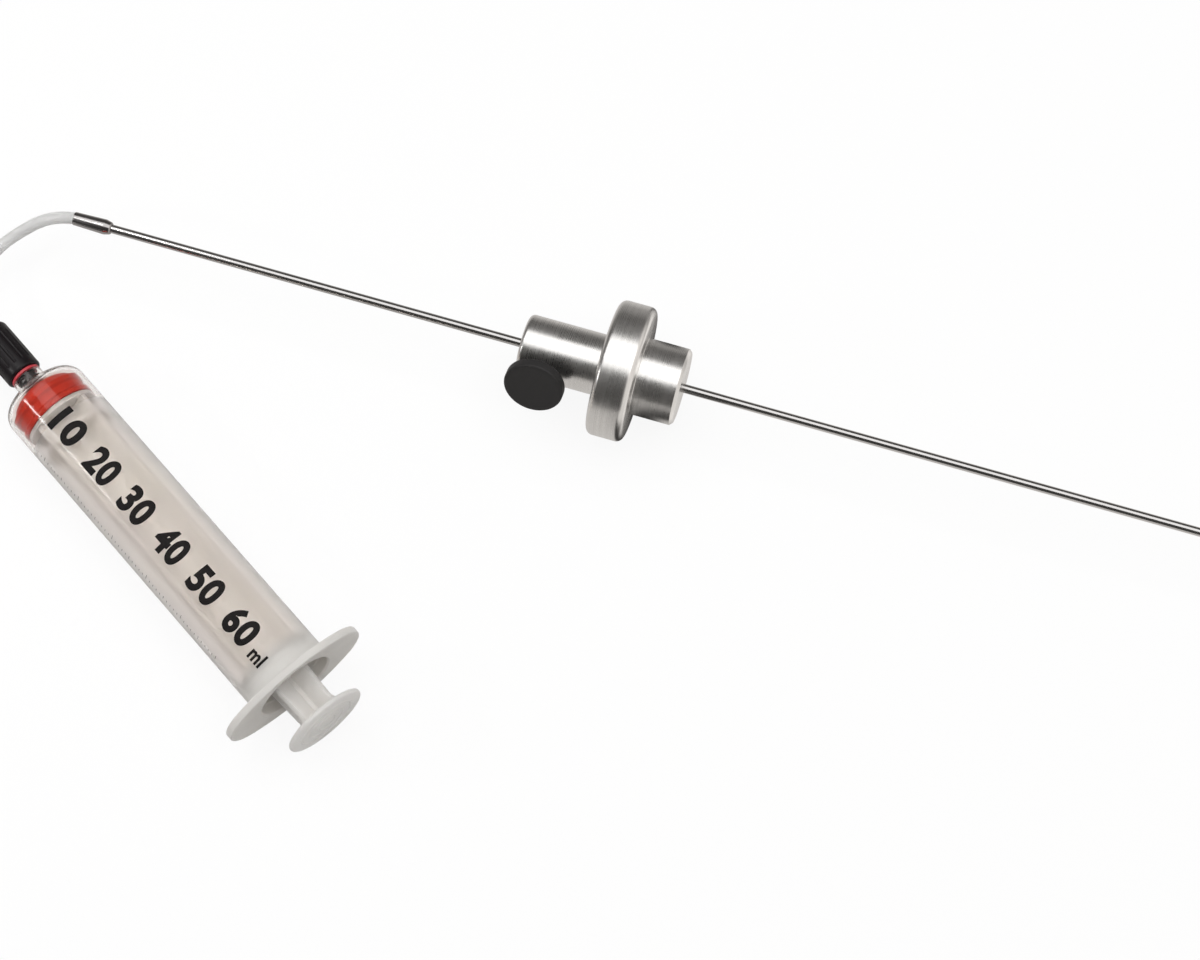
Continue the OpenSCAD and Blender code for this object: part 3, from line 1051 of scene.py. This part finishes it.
@dataclass
class Scale(Assembly):
    """The volume scales that are printed on the barrel: bold numerals on top, fine ticks beside.

    Attributes:
        radius: the barrel's radius, in mm.
        volume: the largest volume on it, in millilitres.
        zero: place of the zero mark along the axis, in mm.
        millilitre: length of one millilitre, in mm.
        figure: height and width of a numeral, in mm, and how much its strokes are thickened, as
            a share of its height.
        unit: the same of "ml".
        unit_after: how far "ml" lies past the last numeral, in millilitres.
        foot: distance from the numerals' middle line down to their feet, in mm.
        numerals_at: angle of the numerals from the top towards +Y, in radians.
        ticks_at: that of the ticks.
        tick: width of a tick, in mm, and tick_low the place of its foot.
        tick_high: places of the heads of the plain ticks, the fives and the tens.
        ink: thickness of the print, in mm.
        strip: width of the strips that the print is bent in, in mm.
    """

    radius: float
    volume: int = 60
    zero: float = 12.6
    millilitre: float = 1.787
    figure: tuple[float, float, float] = (10.0, 11.8, 0.045)
    unit: tuple[float, float, float] = (5.0, 5.6, 0.03)
    unit_after: float = 6.2
    foot: float = -3.4
    numerals_at: float = math.radians(-12)
    ticks_at: float = math.radians(-66)
    tick: float = 0.22
    tick_low: float = -0.9
    tick_high: tuple[float, float, float] = (0.1, 0.5, 1.1)
    ink: float = 0.04
    strip: float = 0.5

    def build(self) -> None:
        """Prints both scales."""
        black = Ink("black_ink", "black_plastic", (0.01, 0.009, 0.009), 0.45)
        grey = Ink("grey_ink", "black_plastic", (0.22, 0.21, 0.205), 0.5)
        self.add("volume_scale", self.bent(self.numerals(), self.numerals_at), black, "tool")
        self.add("fine_scale", self.bent(self.ticks(), self.ticks_at), grey, "tool")

    def along(self, volume: float) -> float:
        """Place of a volume along the axis, in mm."""
        return self.zero + volume * self.millilitre

    def numerals(self) -> bmesh.types.BMesh:
        """Draws the numerals at every ten millilitres and the unit behind the last.

        Returns:
            The flat print.
        """
        figures = []
        for volume in range(10, self.volume + 1, 10):
            figures.append(self.lettering(str(volume), *self.figure))
            figures[-1].transform(Matrix.Translation((self.along(volume), self.foot, 0)))
        figures.append(self.lettering("ml", *self.unit))
        unit_at = self.along(self.volume + self.unit_after)
        figures[-1].transform(Matrix.Translation((unit_at, self.foot, 0)))
        return gathered(figures)

    def ticks(self) -> bmesh.types.BMesh:
        """Draws the ticks, one to the millilitre, longer at fives and longest at tens.

        Returns:
            The flat print.
        """
        ticks = []
        for volume in range(self.volume + 1):
            rank = (volume % 5 == 0) + (volume % 10 == 0)
            x = self.along(volume)
            ticks.append(self.mark(x, self.tick_low, self.tick_high[rank], self.tick))
        return gathered(ticks)

    def lettering(self, text: str, height: float, width: float, weight: float) -> bmesh.types.BMesh:
        """Flat figures or letters in the XY plane.

        Args:
            text: what they say.
            height: their height, in mm.
            width: their whole width, in mm.
            weight: how much the strokes are thickened, as a share of the height.

        Returns:
            The figures, centred in X and standing on Y = 0.
        """
        letters = bpy.data.curves.new("numeral", "FONT")
        letters.body = text
        letters.size = height
        letters.offset = weight * height
        letters.space_character = 1.0 + 2.2 * weight
        letters.resolution_u = 8
        mesh = evaluated(letters)
        xs = [vert.co.x for vert in mesh.verts]
        ys = [vert.co.y for vert in mesh.verts]
        middle = Matrix.Translation((-(min(xs) + max(xs)) / 2, -min(ys), 0))
        fit = Matrix.Diagonal((width / (max(xs) - min(xs)), height / (max(ys) - min(ys)), 1, 1))
        mesh.transform(fit @ middle)
        return mesh

    def mark(self, x: float, low: float, high: float, width: float) -> bmesh.types.BMesh:
        """One flat tick.

        Args:
            x: its place along the axis, in mm.
            low: place of its foot across the axis.
            high: place of its head.
            width: its width.

        Returns:
            The tick in the XY plane.
        """
        mesh = bmesh.new()
        bmesh.ops.create_grid(mesh, x_segments=1, y_segments=1, size=0.5)
        shape = Matrix.Diagonal((width, high - low, 1, 1))
        mesh.transform(Matrix.Translation((x, (low + high) / 2, 0)) @ shape)
        return mesh

    def bent(self, flat: bmesh.types.BMesh, centre: float) -> bmesh.types.BMesh:
        """Lays flat print round the barrel and gives it the ink's thickness.

        Args:
            flat: the print, with X along the axis and Y round the barrel.
            centre: angle of its Y = 0 from the top.

        Returns:
            The print as a closed skin on the barrel.
        """
        ys = [vert.co.y for vert in flat.verts]
        for k in range(1, math.ceil((max(ys) - min(ys)) / self.strip)):
            geom = [*flat.verts, *flat.edges, *flat.faces]
            cut = (0, min(ys) + k * self.strip, 0)
            bmesh.ops.bisect_plane(flat, geom=geom, dist=1e-5, plane_co=cut, plane_no=(0, 1, 0))
        raised = bmesh.ops.extrude_face_region(flat, geom=flat.faces[:])["geom"]
        moved = [part for part in raised if isinstance(part, bmesh.types.BMVert)]
        bmesh.ops.translate(flat, verts=moved, vec=(0, 0, self.ink))
        for vert in flat.verts:
            angle = centre + vert.co.y / self.radius
            reach = self.radius + 0.01 + vert.co.z
            vert.co = (vert.co.x, reach * math.sin(angle), reach * math.cos(angle))
        bmesh.ops.recalc_face_normals(flat, faces=flat.faces)
        return flat


@dataclass
class Barrel(Assembly):
    """The syringe's clear barrel with its lock ring, its finger flange and the print on it.

    All sizes are in mm.

    Attributes:
        bore: radius of the barrel's bore, and wall its wall.
        nozzle: radius of the nozzle's tip, nozzle_foot that of its foot, and channel its bore's.
        lock: radius of the lock ring, and lock_bore that of its cavity.
        lock_deep: place of the cavity's floor.
        lean: slope of the shoulder.
        shoulder: outer corner radius of the shoulder, and shoulder_at that corner's place.
        floor_at: place of the inside corner of the shoulder.
        wing_tip: radius of the finger flange's tips, and wing its thickness.
        middle: half the flange's height, and rim the rounding of its edges.
        foot: radius of the flange's foot, and foot_l its length.
        lip: height of the lip that keeps the piston in, lip_half half its width, and lip_at its
            place before the flange.
        polished: place up to which the mould was polished clear.
        thick: how far before the flange the wall starts to look thick.
        plastic: its colour, and blush that of its other flow streaks.
    """

    bore: float = 13.35
    wall: float = 1.5
    nozzle: float = 1.925
    nozzle_foot: float = 2.15
    channel: float = 1.1
    lock: float = 5.3
    lock_bore: float = 4.1
    lock_deep: float = 5.6
    lean: float = math.tan(math.radians(15))
    shoulder: float = 5.0
    shoulder_at: float = 8.577
    floor_at: float = 9.728
    wing_tip: float = 12.0
    wing: float = 2.6
    middle: float = 16.2
    rim: float = 0.5
    foot: float = 15.5
    foot_l: float = 3.4
    lip: float = 0.35
    lip_half: float = 0.45
    lip_at: float = 1.75
    polished: float = 25.0
    thick: float = 11.0
    plastic: Colour = (0.945, 0.91, 0.87)
    blush: Colour = (0.94, 0.90, 0.885)

    def build(self) -> None:
        """Makes the barrel and the print on it."""
        self.build_shell()
        Scale(self.nodes, self.axle, self.bore + self.wall).build()

    def flange_reach(self, angle: float, reach: float) -> float:
        """Radius of the finger flange's oval, which is drawn with two wide arcs and two tips.

        Args:
            angle: angle from the wings' line, from 0 to a quarter turn.
            reach: half the flange's span, in mm.

        Returns:
            The distance from the axis to the outline, in mm.
        """
        tip, half = self.wing_tip, self.middle
        tip_y = reach - tip
        side = (tip_y * tip_y + half * half - tip * tip) / (2 * (half - tip))
        sunk = side - half
        meet = math.atan2(sunk, tip_y)
        if angle < math.atan2(tip * math.sin(meet), tip_y + tip * math.cos(meet)):
            return tip_y * math.cos(angle) + math.sqrt(tip * tip - (tip_y * math.sin(angle)) ** 2)
        return -sunk * math.sin(angle) + math.sqrt(side * side - (sunk * math.cos(angle)) ** 2)

    def build_shell(self) -> None:
        """The barrel in one turned shell, with its round flange drawn out into two wings."""
        start, end, reach = self.span("syringe_barrel")
        outer = self.bore + self.wall
        wing_x = end - self.wing
        lip_x = wing_x - self.lip_at
        lock_end = self.shoulder_at - (outer - self.lock) * self.lean
        floor = self.floor_at - (self.bore - self.channel) * self.lean
        shell = lathe([
            (start, self.channel, 0.15), (start, self.nozzle, 0.2),
            (self.lock_deep, self.nozzle_foot, 0.3), (self.lock_deep, self.lock_bore, 0.3),
            (1.0, self.lock_bore, 0.2), (1.0, self.lock, 0.25), (lock_end, self.lock, 1.2),
            (self.shoulder_at, outer, self.shoulder),
            (wing_x - self.foot_l, outer, 2.0), (wing_x, self.foot, 0.4),
            (wing_x, self.middle, self.rim), (end, self.middle, self.rim),
            (end, self.bore + 0.6, 0.2), (end - 0.6, self.bore, 0.2),
            (lip_x + self.lip_half, self.bore, 0.1), (lip_x, self.bore - self.lip, 0.2),
            (lip_x - self.lip_half, self.bore, 0.1),
            (self.floor_at, self.bore, self.shoulder - 1.5), (floor, self.channel, 0.3),
        ], steps=8, segments=192)
        for vert in shell.verts:
            radius = math.hypot(vert.co.y, vert.co.z)
            if vert.co.x > wing_x - 0.01 and radius > self.middle - self.rim - 0.01:
                angle = math.atan2(abs(vert.co.z), abs(vert.co.y))
                grow = (radius + self.flange_reach(angle, reach) - self.middle) / radius
                vert.co.y *= grow
                vert.co.z *= grow
        clear = ClearPlastic(
            "clear_polypropylene", "clear_barrel", self.plastic, 0.33, self.axle, self.blush,
            polished_to=self.polished * MM, thick_from=(wing_x - self.thick) * MM,
        )
        self.add("barrel_shell", shell, clear, "tool", "syringe_barrel")


@dataclass
class Plunger(Assembly):
    """The milky plunger rod with the rubber piston on its head. All sizes are in mm.

    Attributes:
        rib: thickness of the ribs, and rib_half half their width.
        rib_turn: how far the ribs are turned, in radians.
        core: radius of the rod where the ribs cross.
        neck: half the ribs' width behind the guide disc, and flare that before the thumb disc.
        disc: radius of the discs, disc_wall their thickness and disc_places their places.
        disc_edge: rounding of their edges.
        thumb_wall: thickness of the thumb disc, and thumb_edge the rounding of its edge.
        ring_pitch: distance between the rings on it, rings their number and ring_h their height.
        snap: radius of the head that snaps into the piston, snap_l its length and snap_neck the
            radius of the neck behind it.
        play: gap between that head and the piston's pocket.
        cone: place and radius of the piston's cone at its tip and at its edge.
        seal_l: length of the piston behind its cone, and waist the depth of its waist.
        plastic: colour of the rod, and rubber that of the piston.
    """

    rib: float = 1.8
    rib_half: float = 12.4
    rib_turn: float = math.radians(42)
    core: float = 2.2
    neck: float = 9.0
    flare: float = 7.8
    disc: float = 12.9
    disc_wall: float = 1.6
    disc_places: tuple[float, ...] = (20.313, 28.813, 131.413)
    disc_edge: float = 0.35
    thumb_wall: float = 1.6
    thumb_edge: float = 0.72
    ring_pitch: float = 3.2
    rings: int = 3
    ring_h: float = 0.3
    snap: float = 5.975
    snap_neck: float = 4.775
    snap_l: float = 5.2
    play: float = 0.1
    cone: tuple[tuple[float, float], ...] = ((6.967, 1.5), (9.286, 10.156))
    seal_l: float = 7.2
    waist: float = 0.8
    plastic: Colour = (0.93, 0.895, 0.85)
    rubber: Colour = (0.44, 0.024, 0.009)

    def build(self) -> None:
        """Makes the rod and the piston."""
        self.build_rod()
        self.build_piston()

    def build_rod(self) -> None:
        """The rod's ribs, discs, core and thumb disc, fused into one moulding."""
        start, end, thumb = self.span("plunger_rod")
        back = end - self.ring_h
        front = back - self.thumb_wall
        moulding = self.turned_rod(start, front, back, end, thumb)
        outline = self.rib_outline(front)
        for quarter in (0.0, math.pi / 2):
            rib = plate(outline, self.rib, 0.3)
            moulding = carve(moulding, turned_by(rib, quarter), Cut.JOIN)
        milky = Plastic(
            "milky_polypropylene", "milky_plastic", self.plastic, 0.42, self.axle,
            grain=0.0007, relief=0.000005, milky=0.85, glow=0.008, clear=0.25,
        )
        turned_by(moulding, self.rib_turn)
        self.add("plunger_moulding", moulding, milky, "plunger", "plunger_rod")

    def turned_rod(
        self, start: float, front: float, back: float, end: float, thumb: float
    ) -> bmesh.types.BMesh:
        """The round parts of the plunger.

        Args:
            start: place of the head that snaps into the piston.
            front: place of the thumb disc's front.
            back: place of its back.
            end: place of the crests of the rings on its back.
            thumb: its radius.

        Returns:
            The snap head, the core, the discs and the thumb disc as one turned skin.
        """
        neck = start + self.snap_l
        rod = [
            (start, 0, 0), (start, self.snap, 0.9),
            (neck, self.snap, 0.3), (neck, self.snap_neck, 0.3),
        ]
        edge = self.disc_edge
        for place in self.disc_places:
            foot = self.snap_neck if place == self.disc_places[0] else self.core
            behind = place + self.disc_wall
            rod += [
                (place, foot, 0.4), (place, self.disc, edge),
                (behind, self.disc, edge), (behind, self.core, 0.5),
            ]
        edge = self.thumb_edge
        rod += [(front, self.core, 1.0), (front, thumb, edge), (back, thumb, edge)]
        for k in range(self.rings, 0, -1):
            foot = k * self.ring_pitch
            rod += [
                (back, foot + 0.95, 0.15), (end, foot + 0.7, 0.15),
                (end, foot + 0.2, 0.15), (back, foot - 0.05, 0.15),
            ]
        return lathe([*rod, (back, 0, 0)], closed=False, segments=160)

    def rib_outline(self, front: float) -> list[Vector]:
        """Outline of one rib, which narrows behind the guide disc and flares at the thumb disc.

        Args:
            front: place of the thumb disc's front.

        Returns:
            The outline's points in the XZ plane.
        """
        first, _, guide = self.disc_places
        behind = guide + self.disc_wall
        half = self.rib_half
        side = [
            (first + 0.8, half, 0), (behind, half, 0), (behind, self.neck, 3.3),
            (behind + 3.5, self.neck, 0), (front, self.flare, 4.5),
            (front, half, 0), (front + 0.8, half, 0),
        ]
        other = [(x, -r, rounding) for x, r, rounding in reversed(side)]
        return rounded(side + other, True, 8)

    def build_piston(self) -> None:
        """The rubber piston with its cone, lips and waist."""
        _, end, lip = self.span("piston_seal")
        (tip, flat), (edge, wide) = self.cone
        start = end - self.seal_l
        waist = lip - self.waist
        mouth = self.snap_neck + self.play
        pocket = self.snap + self.play
        rubber_body = lathe([
            (tip, 0, 0), (tip, flat, 0.6), (edge, wide, 3.0), (start - 0.3, lip - 0.5, 0.6),
            (start, lip, 0.25), (start + 1.5, lip, 0.3), (start + 2.4, waist, 0.6),
            (end - 2.4, waist, 0.6), (end - 1.5, lip, 0.3), (end, lip, 0.35),
            (end, mouth, 0.3), (end - 1.9, mouth, 0.1), (end - 1.9, pocket, 0.1),
            (end - 6.1, pocket, 0.4), (end - 7.3, pocket - 0.8, 0.4), (end - 7.3, 0, 0),
        ], closed=False)
        rubber = Plastic(
            "piston_rubber", "piston_rubber", self.rubber, 0.4, self.axle,
            grain=0.0005, relief=0.00001, shine=0.05,
        )
        self.add("piston_body", rubber_body, rubber, "plunger", "piston_seal")


# ------------------------------------------------------------------------ collar and its screw


@dataclass
class StopCollar(Assembly):
    """The turned collar that rests on the fork leg. All sizes are in mm.

    Attributes:
        screw: the clamp screw's axis.
        bore: radius of its bore.
        neck: radius of its neck.
        flange_l: length of its flange.
        rim: rounding of the flange.
        nose: radius of its nose.
        chamfer: chamfer of the nose's end.
        hole: radius of the screw's hole.
        spot: radius of the flat spot round the hole, and spot_at its distance from the axis.
    """

    screw: Axle
    bore: float = 1.55
    neck: float = 10.3
    flange_l: float = 12.5
    rim: float = 2.4
    nose: float = 13.0
    chamfer: float = 1.0
    hole: float = 2.55
    spot: float = 5.0
    spot_at: float = 9.95

    def drill(self, radius: float, floor: float) -> bmesh.types.BMesh:
        """A drill on the screw's axis.

        Args:
            radius: its radius, in mm.
            floor: how far from the tube's axis it stops, in mm.

        Returns:
            The drill, in the collar's own axes.
        """
        deep = 2 * self.neck
        drill = lathe([(floor, 0, 0), (floor, radius, 0), (deep, radius, 0), (deep, 0, 0)], False)
        to_collar = self.axle.matrix.inverted() @ self.screw.matrix
        to_collar.translation /= MM
        drill.transform(to_collar)
        return drill

    def build(self) -> None:
        """Makes the collar with the screw's hole in its neck."""
        start, end, flange = self.span("stop_collar")
        face = end - self.chamfer
        body = lathe([
            (start, self.bore, 0.25), (start, self.neck, 1.6), (-self.flange_l, self.neck, 0.25),
            (-self.flange_l, flange, self.rim), (0, flange, self.rim), (0, self.nose, 0.25),
            (face, self.nose, 0.3), (end, self.nose - self.chamfer, 0.3), (end, self.bore, 0.25),
        ], steps=10, segments=192)
        body = carve(body, self.drill(self.hole, 0.0), Cut.REMOVE)
        body = carve(body, self.drill(self.spot, self.spot_at), Cut.REMOVE)
        metal = TurnedMetal("turned_aluminium", "turned_aluminium", (0.80, 0.785, 0.765), 0.3)
        self.add("collar_body", body, metal, "collar", "stop_collar")


@dataclass
class ClampScrew(Assembly):
    """The thumb screw that clamps the collar to the tube. All sizes are in mm.

    Attributes:
        pitch: pitch of its thread, and depth the thread's depth.
        plain: length of the stud that bears no thread.
        boss: radius of the knob's boss, and boss_l its length.
        rim: width of the rim round the knob's top, and dish how deep its middle is sunk.
        nib: radius of the pocket in the stud's end, and nib_l its depth.
        play: gap between the stud and the knob's bore.
    """

    pitch: float = 0.8
    depth: float = 0.488
    plain: float = 1.2
    boss: float = 4.5
    boss_l: float = 2.55
    rim: float = 1.6
    dish: float = 0.3
    nib: float = 0.97
    nib_l: float = 2.02
    play: float = 0.05

    def build(self) -> None:
        """Makes the knob, the threaded stud and the soft tip."""
        self.build_knob()
        self.build_stud()
        self.build_tip()

    def build_knob(self) -> None:
        """The round knob with its boss, bored for the stud."""
        base, top, radius = self.span("clamp_knob")
        _, stud_end, stud = self.span("clamp_stud")
        deck = base + self.boss_l
        bore, bottom = stud + self.play, stud_end + self.play
        knob = lathe([
            (base, bore, 0.15), (base, self.boss, 0.3), (deck, self.boss, 0.4), (deck, radius, 0.6),
            (top, radius, 1.2), (top, radius - self.rim, 0.6), (top - self.dish, 0, 0),
            (bottom, 0, 0), (bottom, bore, 0.1),
        ], closed=True, steps=10)
        matte = Plastic(
            "matte_black", "knob_plastic", (0.022, 0.021, 0.021), 0.5, self.axle,
            grain=0.0003, relief=0.00002, shine=0.3,
        )
        self.add("knob_body", knob, matte, "screw", "clamp_knob")

    def build_stud(self) -> None:
        """The threaded stud with the pocket for its soft tip."""
        start, end, stud = self.span("clamp_stud")
        root = stud - self.depth
        pocket = start + self.nib_l
        rod = lathe([
            (start, self.nib, 0.1), (start, root, 0.2), (end, root, 0.1), (end, 0, 0),
            (pocket, 0, 0), (pocket, self.nib, 0.05),
        ], segments=96)
        turns = (end - start - self.plain) / self.pitch
        thread = ridge(root - 0.05, stud, self.pitch, start + 0.2, turns, 0.9 * self.pitch)
        zinc = TurnedMetal("zinc_plated_steel", "screw_steel", (0.56, 0.56, 0.57), 0.32, self.axle)
        self.add("threaded_stud", carve(rod, thread, Cut.JOIN), zinc, "screw", "clamp_stud")

    def build_tip(self) -> None:
        """The soft tip, which stands out of the stud's pocket."""
        near, far, tip = self.span("clamp_tip")
        start, _, _ = self.span("clamp_stud")
        nib = self.nib - 0.02
        point = lathe([
            (near, 0, 0), (near, tip, 0.35), (start, tip, 0.05),
            (start, nib, 0.05), (far, nib, 0.15), (far, 0, 0),
        ], closed=False, segments=64)
        nylon = Plastic("natural_nylon", "soft_tip", (0.78, 0.75, 0.68), 0.45, self.axle, milky=0.3)
        self.add("soft_tip_body", point, nylon, "screw_tip", "clamp_tip")


# -------------------------------------------------------------------------------------- studio


@dataclass(frozen=True)
class Lamp:
    """A rectangular lamp that faces a point.

    Attributes:
        name: its name.
        place: where it hangs.
        facing: the point that it faces.
        size: its width and height.
        watts: its power.
        along: the direction that its width follows.
        mirrored: whether polished surfaces show it.
    """

    name: str
    place: Triple
    facing: Triple
    size: tuple[float, float]
    watts: float
    along: Triple = (1.0, 0.0, 0.0)
    mirrored: bool = True

    def hang(self) -> None:
        """Puts the lamp in the scene, unseen by the camera."""
        data = bpy.data.lights.new(self.name, "AREA")
        data.shape = "RECTANGLE"
        data.size, data.size_y = self.size
        data.energy = self.watts
        lamp = placed(self.name, data)
        back = (Vector(self.place) - Vector(self.facing)).normalized()
        right = (Vector(self.along) - back * back.dot(Vector(self.along))).normalized()
        turn = Matrix((right, back.cross(right), back)).transposed()
        lamp.location = self.place
        lamp.rotation_euler = turn.to_euler()
        lamp.visible_camera = False
        lamp.visible_glossy = self.mirrored


@dataclass
class Studio:
    """Camera, pale floor and soft light. Lengths are in metres.

    Attributes:
        floor_z: height of the floor.
        elevation: the camera's height above the horizon, in degrees.
        turn: how far the camera's right is turned from +X, in degrees.
        distance: from the camera to the point that it looks at.
        target: that point.
        lens: focal length for the sensor, in mm.
        sensor: the sensor's width, in mm.
        eye_floor: how white the floor looks to the eye.
        through_floor: how white it looks through clear plastic.
        through_room: how white the room looks through clear plastic.
        lamps: the lamps.
    """

    floor_z: float
    elevation: float = 72.0
    turn: float = 16.566
    distance: float = 0.85
    target: Triple = (-0.0033, -0.03524, -0.010)
    lens: float = 77.27
    sensor: float = 36.0
    eye_floor: float = 0.9
    through_floor: float = 0.75
    through_room: float = 0.6
    lamps: tuple[Lamp, ...] = (
        Lamp("softbox", (0.0, 0.16, 1.05), (0.0, 0.16, 0.0), (1.8, 1.08), 10.0),
        Lamp("fill", (0.0, 0.0, 1.2), (0.0, 0.0, 0.0), (1.6, 1.6), 6.0, mirrored=False),
        Lamp("strip", (-0.44, -0.197, 0.218), (-0.19, -0.067, 0.0), (0.085, 0.03), 0.22, BARREL),
        Lamp("spot", (-0.311, 0.001, 0.326), (-0.184, -0.065, 0.0), (0.005, 0.08), 0.06, BARREL),
    )

    def build(self) -> None:
        """Sets up everything that isn't the object."""
        self.add_camera()
        self.add_floor()
        self.add_world()
        for lamp in self.lamps:
            lamp.hang()
        bpy.context.scene.view_settings.view_transform = "Standard"

    def add_camera(self) -> None:
        """The camera, looking down on the tool."""
        tilt, turn = math.radians(self.elevation), math.radians(self.turn)
        away = Vector((-math.sin(turn), math.cos(turn), 0))
        ahead = away * math.cos(tilt) - Vector((0, 0, math.sin(tilt)))
        data = bpy.data.cameras.new("camera")
        data.lens = self.lens
        data.sensor_width = self.sensor
        data.clip_start = 0.01
        camera = placed("camera", data)
        camera.location = Vector(self.target) - ahead * self.distance
        camera.rotation_euler = (math.pi / 2 - tilt, 0, turn)
        bpy.context.scene.camera = camera

    def shown(
        self, graph: Graph, glow: str, eye: float, through: float, lit: Signal, grey: Signal
    ) -> Signal:
        """How the surroundings look to each kind of ray.

        Args:
            graph: the node tree that asks.
            glow: kind of shader that gives off light there.
            eye: share of plain white for the eye.
            through: share of plain white through clear plastic.
            lit: what diffuse light meets.
            grey: the tone that polished surfaces show; on the floor, a painted reflection pattern.

        Returns:
            The shader.
        """
        kind = "ShaderNodeLightPath"
        seen = graph.node(kind, out="Is Camera Ray") * eye
        passed = graph.node(kind, out="Is Transmission Ray")
        reflected = graph.node(kind, out="Is Glossy Ray") * (1.0 - passed)
        white = graph.node(glow, inputs={"Color": (1, 1, 1, 1)})
        plain = graph.mix(seen + passed * through, lit, white)
        return graph.mix(reflected, plain, graph.node(glow, inputs={"Color": grey}))

    def floor_tone(self, graph: Graph) -> Signal:
        """The floor's painted reflection: its tone in polished surfaces, laid out in patches that
        paint the collar's light and dark bands.

        Args:
            graph: the floor's node tree.

        Returns:
            The tone as a colour.
        """
        x, y, _ = graph.axes(graph.coords())
        # Painted reflection: bright and dark patches of the floor, seen only by polished surfaces,
        # placed to give the collar its bands.
        left = graph.remap(x, -0.003, 0.001, 0.66, 0.04)
        right = graph.remap(x, 0.018, 0.04, 0.0, 0.8)
        beside = graph.remap(x, 0.006, 0.012, 0.0, 1.0) * graph.remap(y, -0.034, -0.022, 0.0, 0.6)
        near = graph.remap(y, 0.05, 0.12, 1.0, 0.0)
        far = graph.remap(y, 0.05, 0.12, 0.0, 0.3)
        return graph.tint((left + right + beside) * near + far, (0, 0, 0), (1.0, 0.97, 0.94))

    def add_floor(self) -> None:
        """A wide pale floor that shows white to the eye, keeps a soft shadow and shows polished
        surfaces a painted reflection pattern.
        """
        mesh = bmesh.new()
        bmesh.ops.create_grid(mesh, x_segments=1, y_segments=1, size=6.0)
        bmesh.ops.translate(mesh, verts=mesh.verts, vec=(0, 0, self.floor_z))
        floor = placed("floor", stored("floor", mesh))
        paper = bpy.data.materials.new("white_paper")
        paper.use_nodes = True
        graph = Graph(paper.node_tree)
        # The floor shows polished surfaces this painted reflection tone instead of its lit colour.
        grey = self.floor_tone(graph)
        matte = graph.node("ShaderNodeBsdfDiffuse", inputs={"Color": (0.86, 0.86, 0.86, 1)})
        glow = "ShaderNodeEmission"
        graph.output(self.shown(graph, glow, self.eye_floor, self.through_floor, matte, grey))
        floor.data.materials.append(paper)
        floor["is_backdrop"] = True

    def add_world(self) -> None:
        """A room that is dark in front, paler behind and to the right, and white to the eye."""
        world = bpy.data.worlds.new("room")
        bpy.context.scene.world = world
        world.use_nodes = True
        graph = Graph(world.node_tree)
        x, y, _ = graph.axes(graph.node("ShaderNodeTexCoord", out="Generated"))
        level = graph.remap(y, -0.2, 0.4, 0.07, 0.12) + graph.remap(x, 0.25, 0.8, 0.0, 0.8)
        grey = graph.tint(level, (0, 0, 0), (1.0, 0.965, 0.93))
        glow = "ShaderNodeBackground"
        room = graph.node(glow, inputs={"Color": (0.25, 0.242, 0.235, 1)})
        shader = self.shown(graph, glow, 1.0, self.through_room, room, grey)
        graph.output(shader, "ShaderNodeOutputWorld")


def main() -> None:
    """Builds the object and the studio round it."""
    logging.basicConfig(level=logging.INFO, format="%(name)s %(message)s")
    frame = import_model()
    nodes = frame["nodes"]
    cad_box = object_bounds()
    joints = {joint["name"]: joint for joint in frame["joints"]}

    Studio(floor_z=cad_box[0][2]).build()
    tube = Axle((0, 0, 0), (1, 0, 0))
    mouth = Axle(MOUTH, tuple(joints["plunger_slide"]["axis"]))
    turn = joints["screw_turn"]
    screw = Axle(tuple(turn["pos_m"]), tuple(turn["axis"]), (1, 0, 0))
    for assembly in (
        Hose(nodes, tube),
        SuctionTube(nodes, tube),
        HoseConnector(nodes, mouth),
        Barrel(nodes, mouth),
        Plunger(nodes, mouth),
        StopCollar(nodes, tube, screw),
        ClampScrew(nodes, screw),
    ):
        assembly.build()


if __name__ == "__main__":
    main()
